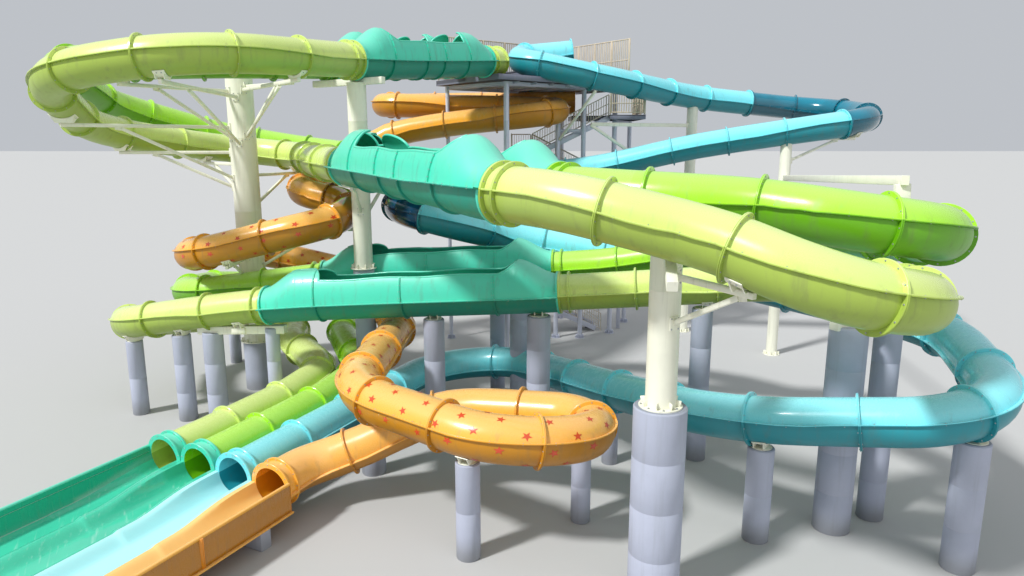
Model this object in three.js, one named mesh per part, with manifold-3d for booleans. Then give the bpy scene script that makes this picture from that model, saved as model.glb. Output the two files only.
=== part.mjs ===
// Water slide tower: four tube slides fall from one start tower to four parallel run-out lanes.
// The site plan is laid out in metres, X to the right and Y away from the viewing side, and
// the finished group is in millimetres with its origin at the middle of the footprint.
import * as THREE from "three";
import { mergeVertices } from "three/addons/utils/BufferGeometryUtils.js";
import Module from "manifold-3d";

const wasm = await Module();
wasm.setup();

// Driving dimensions, metres.
const MM = 1000;
const TUBE_RADIUS = 0.6;
const TUBE_WALL = 0.05;
const TUBE_SIDES = 8;
const FLANGE_RADIUS = 0.66;
const FLANGE_LENGTH = 0.1;
const FLANGE_INSET = 0.004;
const END_GAP = 0.0003;
const SEAT_GAP = 0.0004;
const CLEAN = 0.06;
const WELD = 0.08;
const BEND_STEP = 36;
const SLIGHT_BEND = 22;
const WALL_TOP = 0.7;
const TROUGH_RADIUS = 0.66;
const LIP_THICKNESS = 0.05;
const HOOD_RADIUS = 0.76;
const HOOD_HEIGHT = 1.14;
const HOOD_LENGTH = 1.5;
const LANE_WIDTH = 1.42;
const LANE_LENGTH = 10.6;
const LANE_FLOOR_TOP = 0.64;
const LANE_FLOOR_END = 0.42;
const LANE_WALL = 0.07;
const LANE_HEADING = [-0.45, -0.893];
const LANE_OVERLAP = 0.05;

// Each route is a list of plan corners: x, y, height of the tube axis there, and bend radius.
const ROUTE_A = [
  [-0.7, 34.9, 14.0, 0],
  [-5.3, 27.6, 13.25, 8],
  [-9.0, 21.8, 12.9, 3.4],
  [-14.5, 22.4, 12.3, 3.6],
  [-16.1, 28.4, 10.8, 5],
  [-12.6, 33.8, 10.0, 2.2],
  [-9.6, 33.2, 9.75, 2.6],
  [-7.3, 27.7, 9.6, 6],
  [0.2, 14.6, 9.2, 6],
  [3.6, 13.4, 8.57, 5],
  [6.75, 10.9, 7.65, 2.2],
  [9.6, 17.6, 6.7, 4.0],
  [8.4, 22.0, 6.1, 2.5],
  [2.0, 23.4, 5.45, 8],
  [-8.6, 25.2, 4.6, 20],
  [-15.0, 26.4, 3.6, 1.9],
  [-15.4, 31.6, 2.6, 2.2],
  [-9.8, 32.0, 2.3, 2.2],
  [-9.2, 29.2, 2.1, 3.0],
  [-7.2, 26.7, 1.7, 1.8],
  [-8.1, 24.47, 1.4, 3],
  [-10.35, 20.0, 1.15, 0],
];
const ROUTE_B = [
  [-2.4, 35.5, 14.0, 0],
  [-6.8, 28.6, 13.3, 8],
  [-10.2, 25.9, 13.1, 3.5],
  [-16.2, 25.7, 12.95, 2.3],
  [-17.0, 31.6, 11.8, 3.0],
  [-13.4, 34.9, 10.6, 5],
  [-8.2, 35.6, 9.85, 3.4],
  [-5.2, 29.3, 9.45, 6],
  [1.6, 16.9, 9.13, 6],
  [5.2, 15.8, 8.97, 5],
  [8.6, 13.2, 8.58, 2.2],
  [10.8, 19.6, 7.7, 4.0],
  [9.6, 24.6, 7.15, 2.5],
  [3.0, 26.6, 5.8, 8],
  [-5.6, 28.3, 5.2, 20],
  [-13.6, 28.4, 4.3, 1.9],
  [-14.0, 33.8, 3.8, 2.2],
  [-7.6, 34.2, 2.8, 2.2],
  [-7.4, 30.2, 2.2, 3.0],
  [-5.7, 26.8, 1.7, 2.2],
  [-6.83, 23.8, 1.4, 4],
  [-9.08, 19.36, 1.15, 0],
];
const ROUTE_C = [
  [3.0, 37.6, 14.7, 0],
  [0.3, 37.5, 14.45, 1.1],
  [0.5, 35.1, 14.0, 1.1],
  [4.0, 35.3, 13.4, 8],
  [9.6, 39.3, 12.65, 8],
  [17.6, 40.6, 12.0, 2.8],
  [17.2, 33.6, 11.3, 2.6],
  [9.0, 35.4, 10.15, 8],
  [3.9, 36.6, 9.05, 8],
  [-3.8, 36.8, 8.3, 3.2],
  [-5.6, 25.6, 7.5, 2.5],
  [0.4, 29.2, 6.5, 3],
  [5.6, 28.0, 5.75, 8],
  [12.9, 20.6, 4.85, 2.8],
  [11.6, 15.0, 4.1, 2.2],
  [5.4, 17.8, 3.2, 6],
  [0.2, 28.0, 1.75, 2.9],
  [-3.2, 27.8, 1.5, 2.5],
  [-5.2, 23.9, 1.35, 5],
  [-7.81, 18.72, 1.15, 0],
];
const ROUTE_D = [
  [3.4, 40.4, 12.45, 0],
  [-7.0, 40.6, 12.3, 1.2],
  [-6.6, 38.0, 12.2, 1.15],
  [2.4, 38.7, 12.0, 1.1],
  [2.2, 36.2, 11.75, 1.1],
  [-6.0, 36.9, 10.7, 4],
  [-9.9, 36.9, 8.75, 2.2],
  [-9.1, 31.0, 8.2, 1.5],
  [-6.4, 30.0, 7.8, 1.6],
  [-6.8, 26.4, 7.3, 1.7],
  [-13.05, 26.8, 6.1, 2.2],
  [-12.4, 32.2, 5.6, 2.0],
  [-6.0, 31.2, 4.5, 3],
  [-4.2, 26.0, 3.55, 3],
  [-4.6, 19.0, 3.5, 3],
  [0.0, 15.8, 3.25, 2.6],
  [3.9, 18.4, 2.9, 1.4],
  [-1.6, 20.2, 2.6, 4],
  [-5.865, 19.42, 1.24, 1.5],
  [-6.54, 18.08, 1.15, 0],
];

// Finishes: colour, roughness, metalness.
const finish = (color, roughness = 0.35, metalness = 0) =>
  new THREE.MeshStandardMaterial({ color, roughness, metalness });
const PALE_GREEN = finish(0xdcec9a);
const LIME = finish(0xa8e23c);
const CYAN = finish(0x78e0e8);
const DEEP_TEAL = finish(0x0c7088);
const NAVY = finish(0x14486a);
const ORANGE = finish(0xf5b043);
const AMBER = finish(0xb07a28);
const TEAL = finish(0x4cd2b6);
const STEEL = finish(0xebebd7, 0.5, 0.1);
const CONCRETE = finish(0xaab2cd, 0.85);
const TOWER_STEEL = finish(0x969bb4, 0.55, 0.1);
const DECK = finish(0x6a6e74, 0.8);
const RAIL = finish(0xd7c8b4, 0.6);

// A plan route with rounded corners and a smooth fall, addressed by its plan length.
class Route {
  constructor(corners) {
    this.pieces = [];
    this.length = 0;
    const marks = [0];
    let from = new THREE.Vector2(corners[0][0], corners[0][1]);
    for (let i = 1; i < corners.length; i++) {
      const here = new THREE.Vector2(corners[i][0], corners[i][1]);
      if (i === corners.length - 1) {
        this.addLine(from, here);
        marks.push(this.length);
        break;
      }
      const before = new THREE.Vector2(corners[i - 1][0], corners[i - 1][1]);
      const after = new THREE.Vector2(corners[i + 1][0], corners[i + 1][1]);
      const inward = here.clone().sub(before).normalize();
      const outward = after.clone().sub(here).normalize();
      const turn = Math.atan2(inward.cross(outward), inward.dot(outward));
      const radius = corners[i][3];
      const setback = radius * Math.tan(Math.abs(turn) / 2);
      const start = here.clone().addScaledVector(inward, -setback);
      if (start.clone().sub(from).dot(inward) < -1e-6) {
        throw new Error("bends run into each other at corner " + corners[i]);
      }
      this.addLine(from, start);
      if (setback < 1e-6) marks.push(this.length);
      else {
        marks.push(this.length + (radius * Math.abs(turn)) / 2);
        this.addBend(start, inward.angle(), radius, turn);
      }
      from = here.clone().addScaledVector(outward, setback);
    }
    this.setFall(marks, corners.map((c) => c[2]));
  }
  addLine(a, b) {
    const length = a.distanceTo(b);
    if (length < 1e-6) return;
    const heading = b.clone().sub(a).angle();
    this.pieces.push({ from: this.length, length, a, heading, radius: 0, turn: 0 });
    this.length += length;
  }
  addBend(a, heading, radius, turn) {
    const length = radius * Math.abs(turn);
    this.pieces.push({ from: this.length, length, a, heading, radius, turn });
    this.length += length;
  }
  // Monotone cubic fall through the heights given at the corner marks.
  setFall(marks, heights) {
    const n = marks.length;
    const gap = marks.slice(1).map((m, i) => m - marks[i]);
    const fall = gap.map((g, i) => (heights[i + 1] - heights[i]) / g);
    const slope = new Array(n).fill(0);
    slope[0] = fall[0];
    slope[n - 1] = fall[n - 2];
    for (let i = 1; i < n - 1; i++) {
      if (fall[i - 1] * fall[i] <= 0) continue;
      const w1 = 2 * gap[i] + gap[i - 1];
      const w2 = gap[i] + 2 * gap[i - 1];
      slope[i] = (w1 + w2) / (w1 / fall[i - 1] + w2 / fall[i]);
    }
    this.fall = { marks, heights, gap, slope };
  }
  height(s) {
    const { marks, heights, gap, slope } = this.fall;
    let i = 0;
    while (i < gap.length - 1 && s > marks[i + 1]) i++;
    const t = (s - marks[i]) / gap[i];
    const t2 = t * t;
    const t3 = t2 * t;
    return (
      (2 * t3 - 3 * t2 + 1) * heights[i] +
      (t3 - 2 * t2 + t) * gap[i] * slope[i] +
      (3 * t2 - 2 * t3) * heights[i + 1] +
      (t3 - t2) * gap[i] * slope[i + 1]
    );
  }
  pieceAt(s) {
    return this.pieces.findLast((p) => s >= p.from - 1e-9) ?? this.pieces[0];
  }
  point(s) {
    const p = this.pieceAt(s);
    const along = s - p.from;
    const at = p.a.clone();
    if (p.radius) {
      const side = Math.sign(p.turn);
      const swept = (side * along) / p.radius;
      at.x += side * p.radius * (Math.sin(p.heading + swept) - Math.sin(p.heading));
      at.y -= side * p.radius * (Math.cos(p.heading + swept) - Math.cos(p.heading));
    } else {
      at.x += along * Math.cos(p.heading);
      at.y += along * Math.sin(p.heading);
    }
    return new THREE.Vector3(at.x, at.y, this.height(s));
  }
  tangent(s) {
    const p = this.pieceAt(s);
    const swept = p.radius ? (Math.sign(p.turn) * (s - p.from)) / p.radius : 0;
    const h = p.heading + swept;
    const rise = (this.height(s + 0.01) - this.height(s - 0.01)) / 0.02;
    return new THREE.Vector3(Math.cos(h), Math.sin(h), rise).normalize();
  }
  // Stations from s0 to s1: both ends, the ends of each straight and steps round each bend.
  stations(s0, s1, step = BEND_STEP) {
    const stops = [s0, s1];
    for (const p of this.pieces.filter((piece) => piece.radius)) {
      const bend = THREE.MathUtils.radToDeg(Math.abs(p.turn));
      const count = Math.max(1, Math.round(bend / step));
      for (let k = 0; k <= count; k++) {
        if (p.radius && bend < SLIGHT_BEND && k) break;
        const share = p.radius && bend < SLIGHT_BEND ? 0.5 : k / count;
        const s = p.from + p.length * share;
        if (s > s0 + 0.15 && s < s1 - 0.15) stops.push(s);
      }
    }
    stops.sort((a, b) => a - b);
    return stops.filter((s, i) => i === 0 || s - stops[i - 1] > 1e-4);
  }
}

// A stretch of a route whose cross-sections stay upright: profile x points left, y points up.
class Stretch extends THREE.Curve {
  constructor(route, s0, s1, step) {
    super();
    this.stops = route.stations(s0, s1, step);
    this.points = this.stops.map((s) => route.point(s).multiplyScalar(MM));
    this.tangents = this.stops.map((s) => route.tangent(s));
  }
  get steps() {
    return this.stops.length - 1;
  }
  getPoint(t, target = new THREE.Vector3()) {
    return target.copy(this.points[Math.round(t * this.steps)]);
  }
  getSpacedPoints() {
    return this.points.map((p) => p.clone());
  }
  computeFrenetFrames() {
    const up = new THREE.Vector3(0, 0, 1);
    const normals = this.tangents.map((t) => up.clone().cross(t).normalize());
    const binormals = this.tangents.map((t, i) => t.clone().cross(normals[i]));
    return { tangents: this.tangents, normals, binormals };
  }
}

// Turns a closed geometry into a solid that can be joined and cut.
function solid(geometry) {
  const bare = geometry.clone();
  bare.deleteAttribute("normal");
  bare.deleteAttribute("uv");
  const merged = mergeVertices(bare, 1e-3);
  const numbers = { numProp: 3, vertProperties: merged.attributes.position.array };
  const made = new wasm.Manifold(
    new wasm.Mesh({ ...numbers, triVerts: new Uint32Array(merged.index.array) }),
  );
  return made;
}

function join(parts) {
  return parts.reduce((all, part) => all.add(part));
}

function largest(body) {
  return body.decompose().reduce((a, b) => (b.volume() > a.volume() ? b : a));
}

// Pulls vertices that almost touch together and drops the triangles that close up.
function weld(positions, triangles) {
  const kept = [];
  const target = [];
  for (let i = 0; i < positions.length; i += 3) {
    const p = new THREE.Vector3().fromArray(positions, i);
    const found = kept.findIndex((q) => q.distanceTo(p) < WELD);
    target.push(found < 0 ? kept.push(p) - 1 : found);
  }
  const faces = [];
  for (let i = 0; i < triangles.length; i += 3) {
    const face = [target[triangles[i]], target[triangles[i + 1]], target[triangles[i + 2]]];
    if (new Set(face).size === 3) faces.push(...face);
  }
  return { kept, faces };
}

function geometryOf(body) {
  const mesh = body.getMesh();
  const count = mesh.numProp;
  const positions = new Float32Array(mesh.numVert * 3);
  for (let i = 0; i < mesh.numVert; i++) {
    positions.set(mesh.vertProperties.subarray(i * count, i * count + 3), i * 3);
  }
  const { kept, faces } = weld(positions, mesh.triVerts);
  const geometry = new THREE.BufferGeometry().setFromPoints(kept);
  geometry.setIndex(faces);
  geometry.computeVertexNormals();
  return geometry;
}

// Profiles, millimetres.
function ring(radius, sides = TUBE_SIDES) {
  const points = [];
  for (let i = 0; i < sides; i++) {
    const a = (2 * Math.PI * i) / sides;
    points.push(new THREE.Vector2(radius * MM * Math.cos(a), radius * MM * Math.sin(a)));
  }
  return points;
}

function annulus(outer, inner) {
  const shape = new THREE.Shape(ring(outer));
  shape.holes.push(new THREE.Path(ring(inner)));
  return shape;
}

// Half a ring standing on the tube's middle plane, wider and higher than the tube.
function arch(radius, height, wall) {
  const outer = [];
  const inner = [];
  for (let i = 0; i <= 4; i++) {
    const c = Math.cos((Math.PI * i) / 4);
    const s = Math.sin((Math.PI * i) / 4);
    outer.push(new THREE.Vector2(radius * c * MM, height * s * MM));
    inner.push(new THREE.Vector2((radius - wall) * c * MM, (height - wall) * s * MM));
  }
  return new THREE.Shape([...outer, ...inner.reverse()]);
}

// The open trough: a half-round bottom, a bolted lip at mid-height and a raised side wall.
function troughProfile() {
  const half = [
    [0, -TROUGH_RADIUS],
    [0.707 * TROUGH_RADIUS, -0.707 * TROUGH_RADIUS],
    [TROUGH_RADIUS, -LIP_THICKNESS],
    [HOOD_RADIUS + 0.01, -LIP_THICKNESS],
    [HOOD_RADIUS + 0.01, 0],
    [TROUGH_RADIUS, 0],
    [TROUGH_RADIUS, WALL_TOP],
    [TROUGH_RADIUS - TUBE_WALL, WALL_TOP],
    [TROUGH_RADIUS - TUBE_WALL, -LIP_THICKNESS],
    [0.67 * TROUGH_RADIUS, -0.63 * TROUGH_RADIUS],
    [0, -TROUGH_RADIUS + TUBE_WALL],
  ];
  const right = half.map(([x, y]) => new THREE.Vector2(x * MM, y * MM));
  const left = half.slice(1, -1).map(([x, y]) => new THREE.Vector2(-x * MM, y * MM));
  return new THREE.Shape([...right, ...left.reverse()]);
}

function sweep(shape, route, s0, s1, step) {
  const path = new Stretch(route, s0, s1, step);
  const options = { steps: path.steps, extrudePath: path, bevelEnabled: false };
  return solid(new THREE.ExtrudeGeometry(shape, options));
}

const routes = {
  a: new Route(ROUTE_A),
  b: new Route(ROUTE_B),
  c: new Route(ROUTE_C),
  d: new Route(ROUTE_D),
};

const group = new THREE.Group();
const bodies = new Map();
const clearances = [];

function add(name, rough, material) {
  const body = rough.simplify(CLEAN);
  const mesh = new THREE.Mesh(geometryOf(body), material);
  mesh.name = name;
  group.add(mesh);
  bodies.set(name, body);
}

// A closed tube with a bolted flange ring where it starts, and the room it takes.
function tube(name, route, s0, s1, material) {
  const a = s0 + END_GAP / 2;
  const b = s1 - END_GAP / 2;
  const inner = TUBE_RADIUS - TUBE_WALL;
  const flange = annulus(FLANGE_RADIUS, TUBE_RADIUS - TUBE_WALL / 2);
  const parts = [
    sweep(annulus(TUBE_RADIUS, inner), route, a, b),
    sweep(flange, route, a + FLANGE_INSET, a + FLANGE_LENGTH),
  ];
  if (s1 === route.length) {
    parts.push(sweep(flange, route, b - FLANGE_LENGTH, b - FLANGE_INSET));
  }
  const body = join(parts);
  add(name, body, material);
  const reach = 1 / Math.cos(Math.PI / TUBE_SIDES);
  const room = new THREE.Shape(ring(TUBE_RADIUS + SEAT_GAP * reach));
  const collar = new THREE.Shape(ring(FLANGE_RADIUS + SEAT_GAP * reach));
  const collarLength = FLANGE_LENGTH + SEAT_GAP;
  clearances.push(
    sweep(room, route, s0, s1),
    sweep(collar, route, s0, s0 + collarLength),
    sweep(collar, route, s1 - collarLength, s1),
  );
}

// An open wave section: a deep trough with a hood over each end, closed down to the tube.
function wave(name, route, s0, s1, material) {
  const a = s0 + END_GAP / 2;
  const b = s1 - END_GAP / 2;
  const sink = -LIP_THICKNESS / 2;
  const hood = arch(HOOD_RADIUS, HOOD_HEIGHT, TUBE_WALL).extractPoints(1).shape;
  const face = arch(HOOD_RADIUS - 0.01, HOOD_HEIGHT - 0.01, 0.2).extractPoints(1).shape;
  hood.forEach((v) => (v.y += sink * MM));
  face.forEach((v) => (v.y += sink * MM));
  const body = join([
    sweep(troughProfile(), route, a, b),
    sweep(new THREE.Shape(hood), route, a, a + HOOD_LENGTH),
    sweep(new THREE.Shape(hood), route, b - HOOD_LENGTH, b),
    sweep(new THREE.Shape(face), route, a + 0.005, a + 0.07),
    sweep(new THREE.Shape(face), route, b - 0.07, b - 0.005),
  ]);
  add(name, largest(body), material);
  const spread = HOOD_RADIUS + 0.012;
  const depth = TROUGH_RADIUS + 0.001;
  const outline = [
    [0, -depth],
    [0.708 * depth, -0.708 * depth],
    [spread, -LIP_THICKNESS - 0.002],
    [spread, HOOD_HEIGHT],
    [-spread, HOOD_HEIGHT],
    [-spread, -LIP_THICKNESS - 0.002],
    [-0.708 * depth, -0.708 * depth],
  ].map(([x, y]) => new THREE.Vector2(x * MM, y * MM));
  clearances.push(sweep(new THREE.Shape(outline), route, s0, s1));
}

tube("a_start", routes.a, 0, 1.1, PALE_GREEN);
wave("a_wave_top", routes.a, 1.1, 8.9, TEAL);
tube("a_upper_loop", routes.a, 8.9, 42.9, PALE_GREEN);
wave("a_wave_mid", routes.a, 42.9, 54.2, TEAL);
tube("a_right_turn", routes.a, 54.2, 80, PALE_GREEN);
wave("a_wave_low", routes.a, 80, 90.5, TEAL);
tube("a_exit", routes.a, 90.5, routes.a.length, PALE_GREEN);

tube("b_start", routes.b, 0, 1.1, LIME);
wave("b_wave_top", routes.b, 1.1, 8.2, TEAL);
tube("b_upper_loop", routes.b, 8.2, 36.5, LIME);
wave("b_wave_mid", routes.b, 36.5, 52.7, TEAL);
tube("b_right_turn", routes.b, 52.7, 79.6, LIME);
wave("b_wave_low", routes.b, 79.6, 88.8, TEAL);
tube("b_exit", routes.b, 88.8, routes.b.length, LIME);

tube("c_start", routes.c, 0, 17.4, CYAN);
tube("c_right_turn", routes.c, 17.4, 27.8, DEEP_TEAL);
tube("c_return", routes.c, 27.8, 48.4, CYAN);
tube("c_left_turn", routes.c, 48.4, 55.4, NAVY);
tube("c_mid_leg", routes.c, 55.4, 75.0, CYAN);
tube("c_low_loop", routes.c, 75.0, routes.c.length, CYAN);

tube("d_upper_loop", routes.d, 0, 40.4, ORANGE);
tube("d_amber_turn", routes.d, 40.4, 44.2, AMBER);
tube("d_star_loop", routes.d, 44.2, 63.6, ORANGE);
tube("d_front_loop", routes.d, 63.6, 80.8, ORANGE);
tube("d_exit", routes.d, 80.8, routes.d.length, ORANGE);

// Run-out lanes: flat-bottomed troughs side by side, straight on from the four mouths.
function laneProfile(nearWall, farWall) {
  const half = LANE_WIDTH / 2 - END_GAP / 2;
  const floor = [[-half, -LANE_WALL], [half, -LANE_WALL]];
  const far = farWall
    ? [[half, farWall], [half - 0.09, farWall], [half - 0.14, 0.04], [half - 0.26, 0]]
    : [[half, 0]];
  const near = [
    [-half + 0.26, 0],
    [-half + 0.14, 0.04],
    [-half + 0.09, nearWall],
    [-half, nearWall],
  ];
  const points = [...floor, ...far, ...near];
  return new THREE.Shape(points.map(([x, y]) => new THREE.Vector2(x * MM, y * MM)));
}

const laneRoutes = [];
const tubeRoom = join(clearances);

function lane(name, route, nearWall, farWall, material) {
  const mouth = route.point(route.length);
  const heading = LANE_HEADING;
  const from = [
    mouth.x - LANE_OVERLAP * heading[0],
    mouth.y - LANE_OVERLAP * heading[1],
    LANE_FLOOR_TOP,
    0,
  ];
  const to = [
    mouth.x + LANE_LENGTH * heading[0],
    mouth.y + LANE_LENGTH * heading[1],
    LANE_FLOOR_END,
    0,
  ];
  const run = new Route([from, to]);
  laneRoutes.push(run);
  const shape = laneProfile(nearWall, farWall);
  add(name, sweep(shape, run, 0, run.length).subtract(tubeRoom), material);
  const half = LANE_WIDTH / 2 + 0.002;
  const low = -LANE_WALL - SEAT_GAP;
  const outline = [[-half, low], [half, low], [half, 1], [-half, 1]];
  const room = new THREE.Shape(outline.map(([x, y]) => new THREE.Vector2(x * MM, y * MM)));
  clearances.push(sweep(room, run, 0, run.length));
}

lane("lane_a", routes.a, 0.78, 0, TEAL);
lane("lane_b", routes.b, 0.26, 0, TEAL);
lane("lane_c", routes.c, 0.26, 0, CYAN);
lane("lane_d", routes.d, 0.26, 0.78, ORANGE);

// Plain shapes for the supports, all given in metres.
function boxAt(x, y, z0, z1, width, depth, turn = 0) {
  const geometry = new THREE.BoxGeometry(width * MM, depth * MM, (z1 - z0) * MM);
  geometry.rotateZ(turn);
  geometry.translate(x * MM, y * MM, ((z0 + z1) / 2) * MM);
  return solid(geometry);
}

function post(x, y, z0, z1, radius, sides = 12) {
  const geometry = new THREE.CylinderGeometry(radius * MM, radius * MM, (z1 - z0) * MM, sides);
  geometry.rotateX(Math.PI / 2);
  geometry.translate(x * MM, y * MM, ((z0 + z1) / 2) * MM);
  return solid(geometry);
}

function bar(a, b, width, height = width) {
  const from = new THREE.Vector3(...a).multiplyScalar(MM);
  const to = new THREE.Vector3(...b).multiplyScalar(MM);
  const along = to.clone().sub(from);
  const geometry = new THREE.BoxGeometry(width * MM, height * MM, along.length());
  const up = Math.abs(along.clone().normalize().z) > 0.99;
  const matrix = new THREE.Matrix4();
  const lift = up ? new THREE.Vector3(0, 1, 0) : new THREE.Vector3(0, 0, 1);
  matrix.lookAt(to, from, lift);
  geometry.applyMatrix4(matrix);
  geometry.translate((from.x + to.x) / 2, (from.y + to.y) / 2, (from.z + to.z) / 2);
  return solid(geometry);
}

// Cuts the room of every slide out of a support and keeps its main body.
const slideRoom = join(clearances);

function support(name, parts, material) {
  add(name, largest(join(parts).subtract(slideRoom)), material);
}

function pier(name, x, y, top, radius) {
  support(name, [post(x, y, 0, top, radius)], CONCRETE);
}

// A bracket from a column to the underside of a slide: a level bar and a brace below it.
function bracket(x, y, route, s, drop = 1.3, out = 0.72) {
  const p = route.point(s);
  const z = p.z - TUBE_RADIUS - 0.02;
  const foot = [x, y, z - drop];
  const reach = [x + (p.x - x) * out, y + (p.y - y) * out, z];
  return [bar([x, y, z], [p.x, p.y, z], 0.16, 0.2), bar(foot, reach, 0.13, 0.13)];
}

const C1 = [-10.85, 29.65];
support("column_left", [
  post(...C1, 0, 13.2, 0.52, 14),
  ...bracket(...C1, routes.a, 16.4, 1.8),
  ...bracket(...C1, routes.a, 12.0, 1.8),
  ...bracket(...C1, routes.a, 22.9, 2.0),
  ...bracket(...C1, routes.a, 26.9, 1.4),
  ...bracket(...C1, routes.a, 30.6, 1.2),
  ...bracket(...C1, routes.a, 35.4, 1.2),
  ...bracket(...C1, routes.b, 9.9, 1.8),
  ...bracket(...C1, routes.b, 15.7, 1.8),
  ...bracket(...C1, routes.d, 48.2, 1.0),
  ...bracket(...C1, routes.d, 54.8, 0.9),
  ...bracket(...C1, routes.d, 42.6, 1.6),
], STEEL);

const C2 = [-5.7, 27.3];
support("column_mid", [
  post(...C2, 0, 12.45, 0.35),
  bar([-4.6, 26.7, 12.5], [-7.6, 28.7, 12.5], 0.2, 0.24),
  ...bracket(...C2, routes.a, 44.7, 1.0),
  ...bracket(...C2, routes.b, 40.5, 1.0),
], STEEL);

const C3 = [3.25, 14.95];
support("column_right", [
  post(...C3, 4.6603, 8.6, 0.34),
  bar([3.0, 13.2, 7.66], [3.5, 16.6, 8.78], 0.22, 0.22),
  ...bracket(...C3, routes.a, 60.2, 1.0, 0.9),
], STEEL);
pier("pier_central", ...C3, 4.66, 0.59);

support("post_far", [
  post(9.5, 39.0, 0, 12.4, 0.28),
  bar([9.5, 39.0, 11.2], [3.9, 36.35, 11.2], 0.16, 0.2),
  bar([3.9, 36.35, 11.15], [5.9, 37.2, 9.9], 0.12, 0.14),
], STEEL);
support("post_return", [
  post(12.9, 34.5, 0, 10.5, 0.26),
  ...bracket(12.9, 34.5, routes.c, 27.2, 1.0),
], STEEL);

support("portal_left", [
  post(-11.0, 25.6, 0, 3.5, 0.36),
  post(-8.7, 25.3, 0, 3.75, 0.25),
  bar([-11.5, 25.65, 3.55], [-8.2, 25.25, 3.7], 0.3, 0.3),
  boxAt(-9.9, 25.45, 3.5, 4.4, 0.5, 0.5),
], CONCRETE);
support("portal_right", [
  post(8.7, 18.0, 0, 5.7, 0.48),
  post(10.05, 18.6, 0, 5.7, 0.35),
  bar([8.2, 17.8, 5.75], [10.5, 18.8, 5.75], 0.3, 0.3),
  boxAt(9.35, 18.3, 5.6, 6.3, 0.5, 0.6),
], CONCRETE);

pier("pier_left_end", -14.4, 26.5, 3.3, 0.3);
pier("pier_left_mid", -12.3, 25.9, 3.7, 0.33);
pier("pier_left_far", -13.2, 33.15, 3.4, 0.26);
pier("pier_low_a", -2.7, 24.15, 4.8, 0.36);
pier("pier_low_b", 0.9, 23.55, 5.1, 0.4);
pier("pier_mid_leg", -0.6, 28.65, 6.5, 0.3);
pier("pier_far_leg", 0.3, 27.1, 5.4, 0.38);
pier("pier_orange_left", -4.4, 21.4, 3.2, 0.38);
pier("pier_orange_front", -1.1, 16.6, 3.0, 0.31);
pier("pier_orange_right", 1.9, 18.4, 2.6, 0.27);
pier("pier_cyan_back", 3.2, 22.1, 2.4, 0.26);
pier("pier_return", 6.1, 22.45, 5.5, 0.33);
pier("pier_cyan_front", 6.45, 17.45, 3.3, 0.34);
pier("pier_cyan_end", 11.0, 16.1, 4.1, 0.39);

// Low walls under the run-outs and under the last straight tubes.
function acrossLanes(s, length, thick, z1, shift = 0) {
  const run = laneRoutes[0];
  const p = run.point(0);
  const x = p.x + s * LANE_HEADING[0] - (length / 2 - 0.71 + shift) * LANE_HEADING[1];
  const y = p.y + s * LANE_HEADING[1] + (length / 2 - 0.71 + shift) * LANE_HEADING[0];
  const turn = Math.atan2(LANE_HEADING[0], -LANE_HEADING[1]);
  return boxAt(x, y, 0, z1, length, thick, turn);
}
const wallTurn = Math.atan2(LANE_HEADING[1], LANE_HEADING[0]);
const spine = laneRoutes[1].point(5.2);
support("lane_plinth", [
  acrossLanes(1.0, 5.68, 0.35, 0.6),
  acrossLanes(3.9, 5.68, 0.35, 0.6),
  acrossLanes(6.8, 5.68, 0.35, 0.6),
  acrossLanes(9.7, 5.68, 0.35, 0.6),
  boxAt(spine.x + 0.63, spine.y - 0.32, 0, 0.3, 9.0, 0.3, wallTurn),
], CONCRETE);
support("exit_cradle", [acrossLanes(-3.6, 4.4, 0.4, 1.05)], CONCRETE);

// Start tower: two decks on steel posts, railings and a switchback stair.
// Plan points of the upper deck are given along and across it from its near left corner.
const DECK_CORNER = [-0.6, 33.4];
const DECK_SIZE = [8.5, 5.3];
const DECK_ALONG = [0.794, 0.608];
const DECK_TURN = Math.atan2(DECK_ALONG[1], DECK_ALONG[0]);
const UPPER_FLOOR = 13.35;
const LOWER_FLOOR = 11.7;

function onDeck(u, v) {
  const x = DECK_CORNER[0] + u * DECK_ALONG[0] - v * DECK_ALONG[1];
  const y = DECK_CORNER[1] + u * DECK_ALONG[1] + v * DECK_ALONG[0];
  return [x, y];
}

function slabOnDeck(u0, u1, v0, v1, z0, z1) {
  const centre = onDeck((u0 + u1) / 2, (v0 + v1) / 2);
  return boxAt(...centre, z0, z1, u1 - u0, v1 - v0, DECK_TURN);
}

const towerPosts = [
  [...onDeck(1.0, 0.75), 13.1, 0.13],
  [...onDeck(7.9, 0.5), 13.1, 0.13],
  [...onDeck(8.0, 4.8), 13.1, 0.13],
  [...onDeck(0.4, 4.9), 13.1, 0.1],
  [3.65, 37.6, 13.1, 0.12],
  [2.35, 37.62, 11.9, 0.12],
  [6.55, 41.1, LOWER_FLOOR - 0.22, 0.12],
];
const [nearLeft, nearRight, farRight, farLeft] = towerPosts;
const level = ([x, y], z) => [x, y, z];
const floorBeams = [
  bar(level(nearLeft, 13.0), level(nearRight, 13.0), 0.16, 0.2),
  bar(level(nearRight, 13.0), level(farRight, 13.0), 0.16, 0.2),
  bar(level(farRight, 13.0), level(farLeft, 13.0), 0.16, 0.2),
  bar(level(farLeft, 13.0), level(nearLeft, 13.0), 0.16, 0.2),
  bar([2.35, 37.62, 10.9], [3.65, 37.6, 10.9], 0.12, 0.16),
  bar([...onDeck(7.9, 0.5), 11.38], [6.55, 41.1, 11.38], 0.12, 0.2),
];
support("tower_frame", [
  ...towerPosts.map(([x, y, top, radius]) => post(x, y, 0, top, radius, 8)),
  ...floorBeams,
], TOWER_STEEL);
const postRoom = join(towerPosts.map(([x, y, , radius]) => post(x, y, 0, 13.1, radius + 0.002, 8)));

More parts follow.
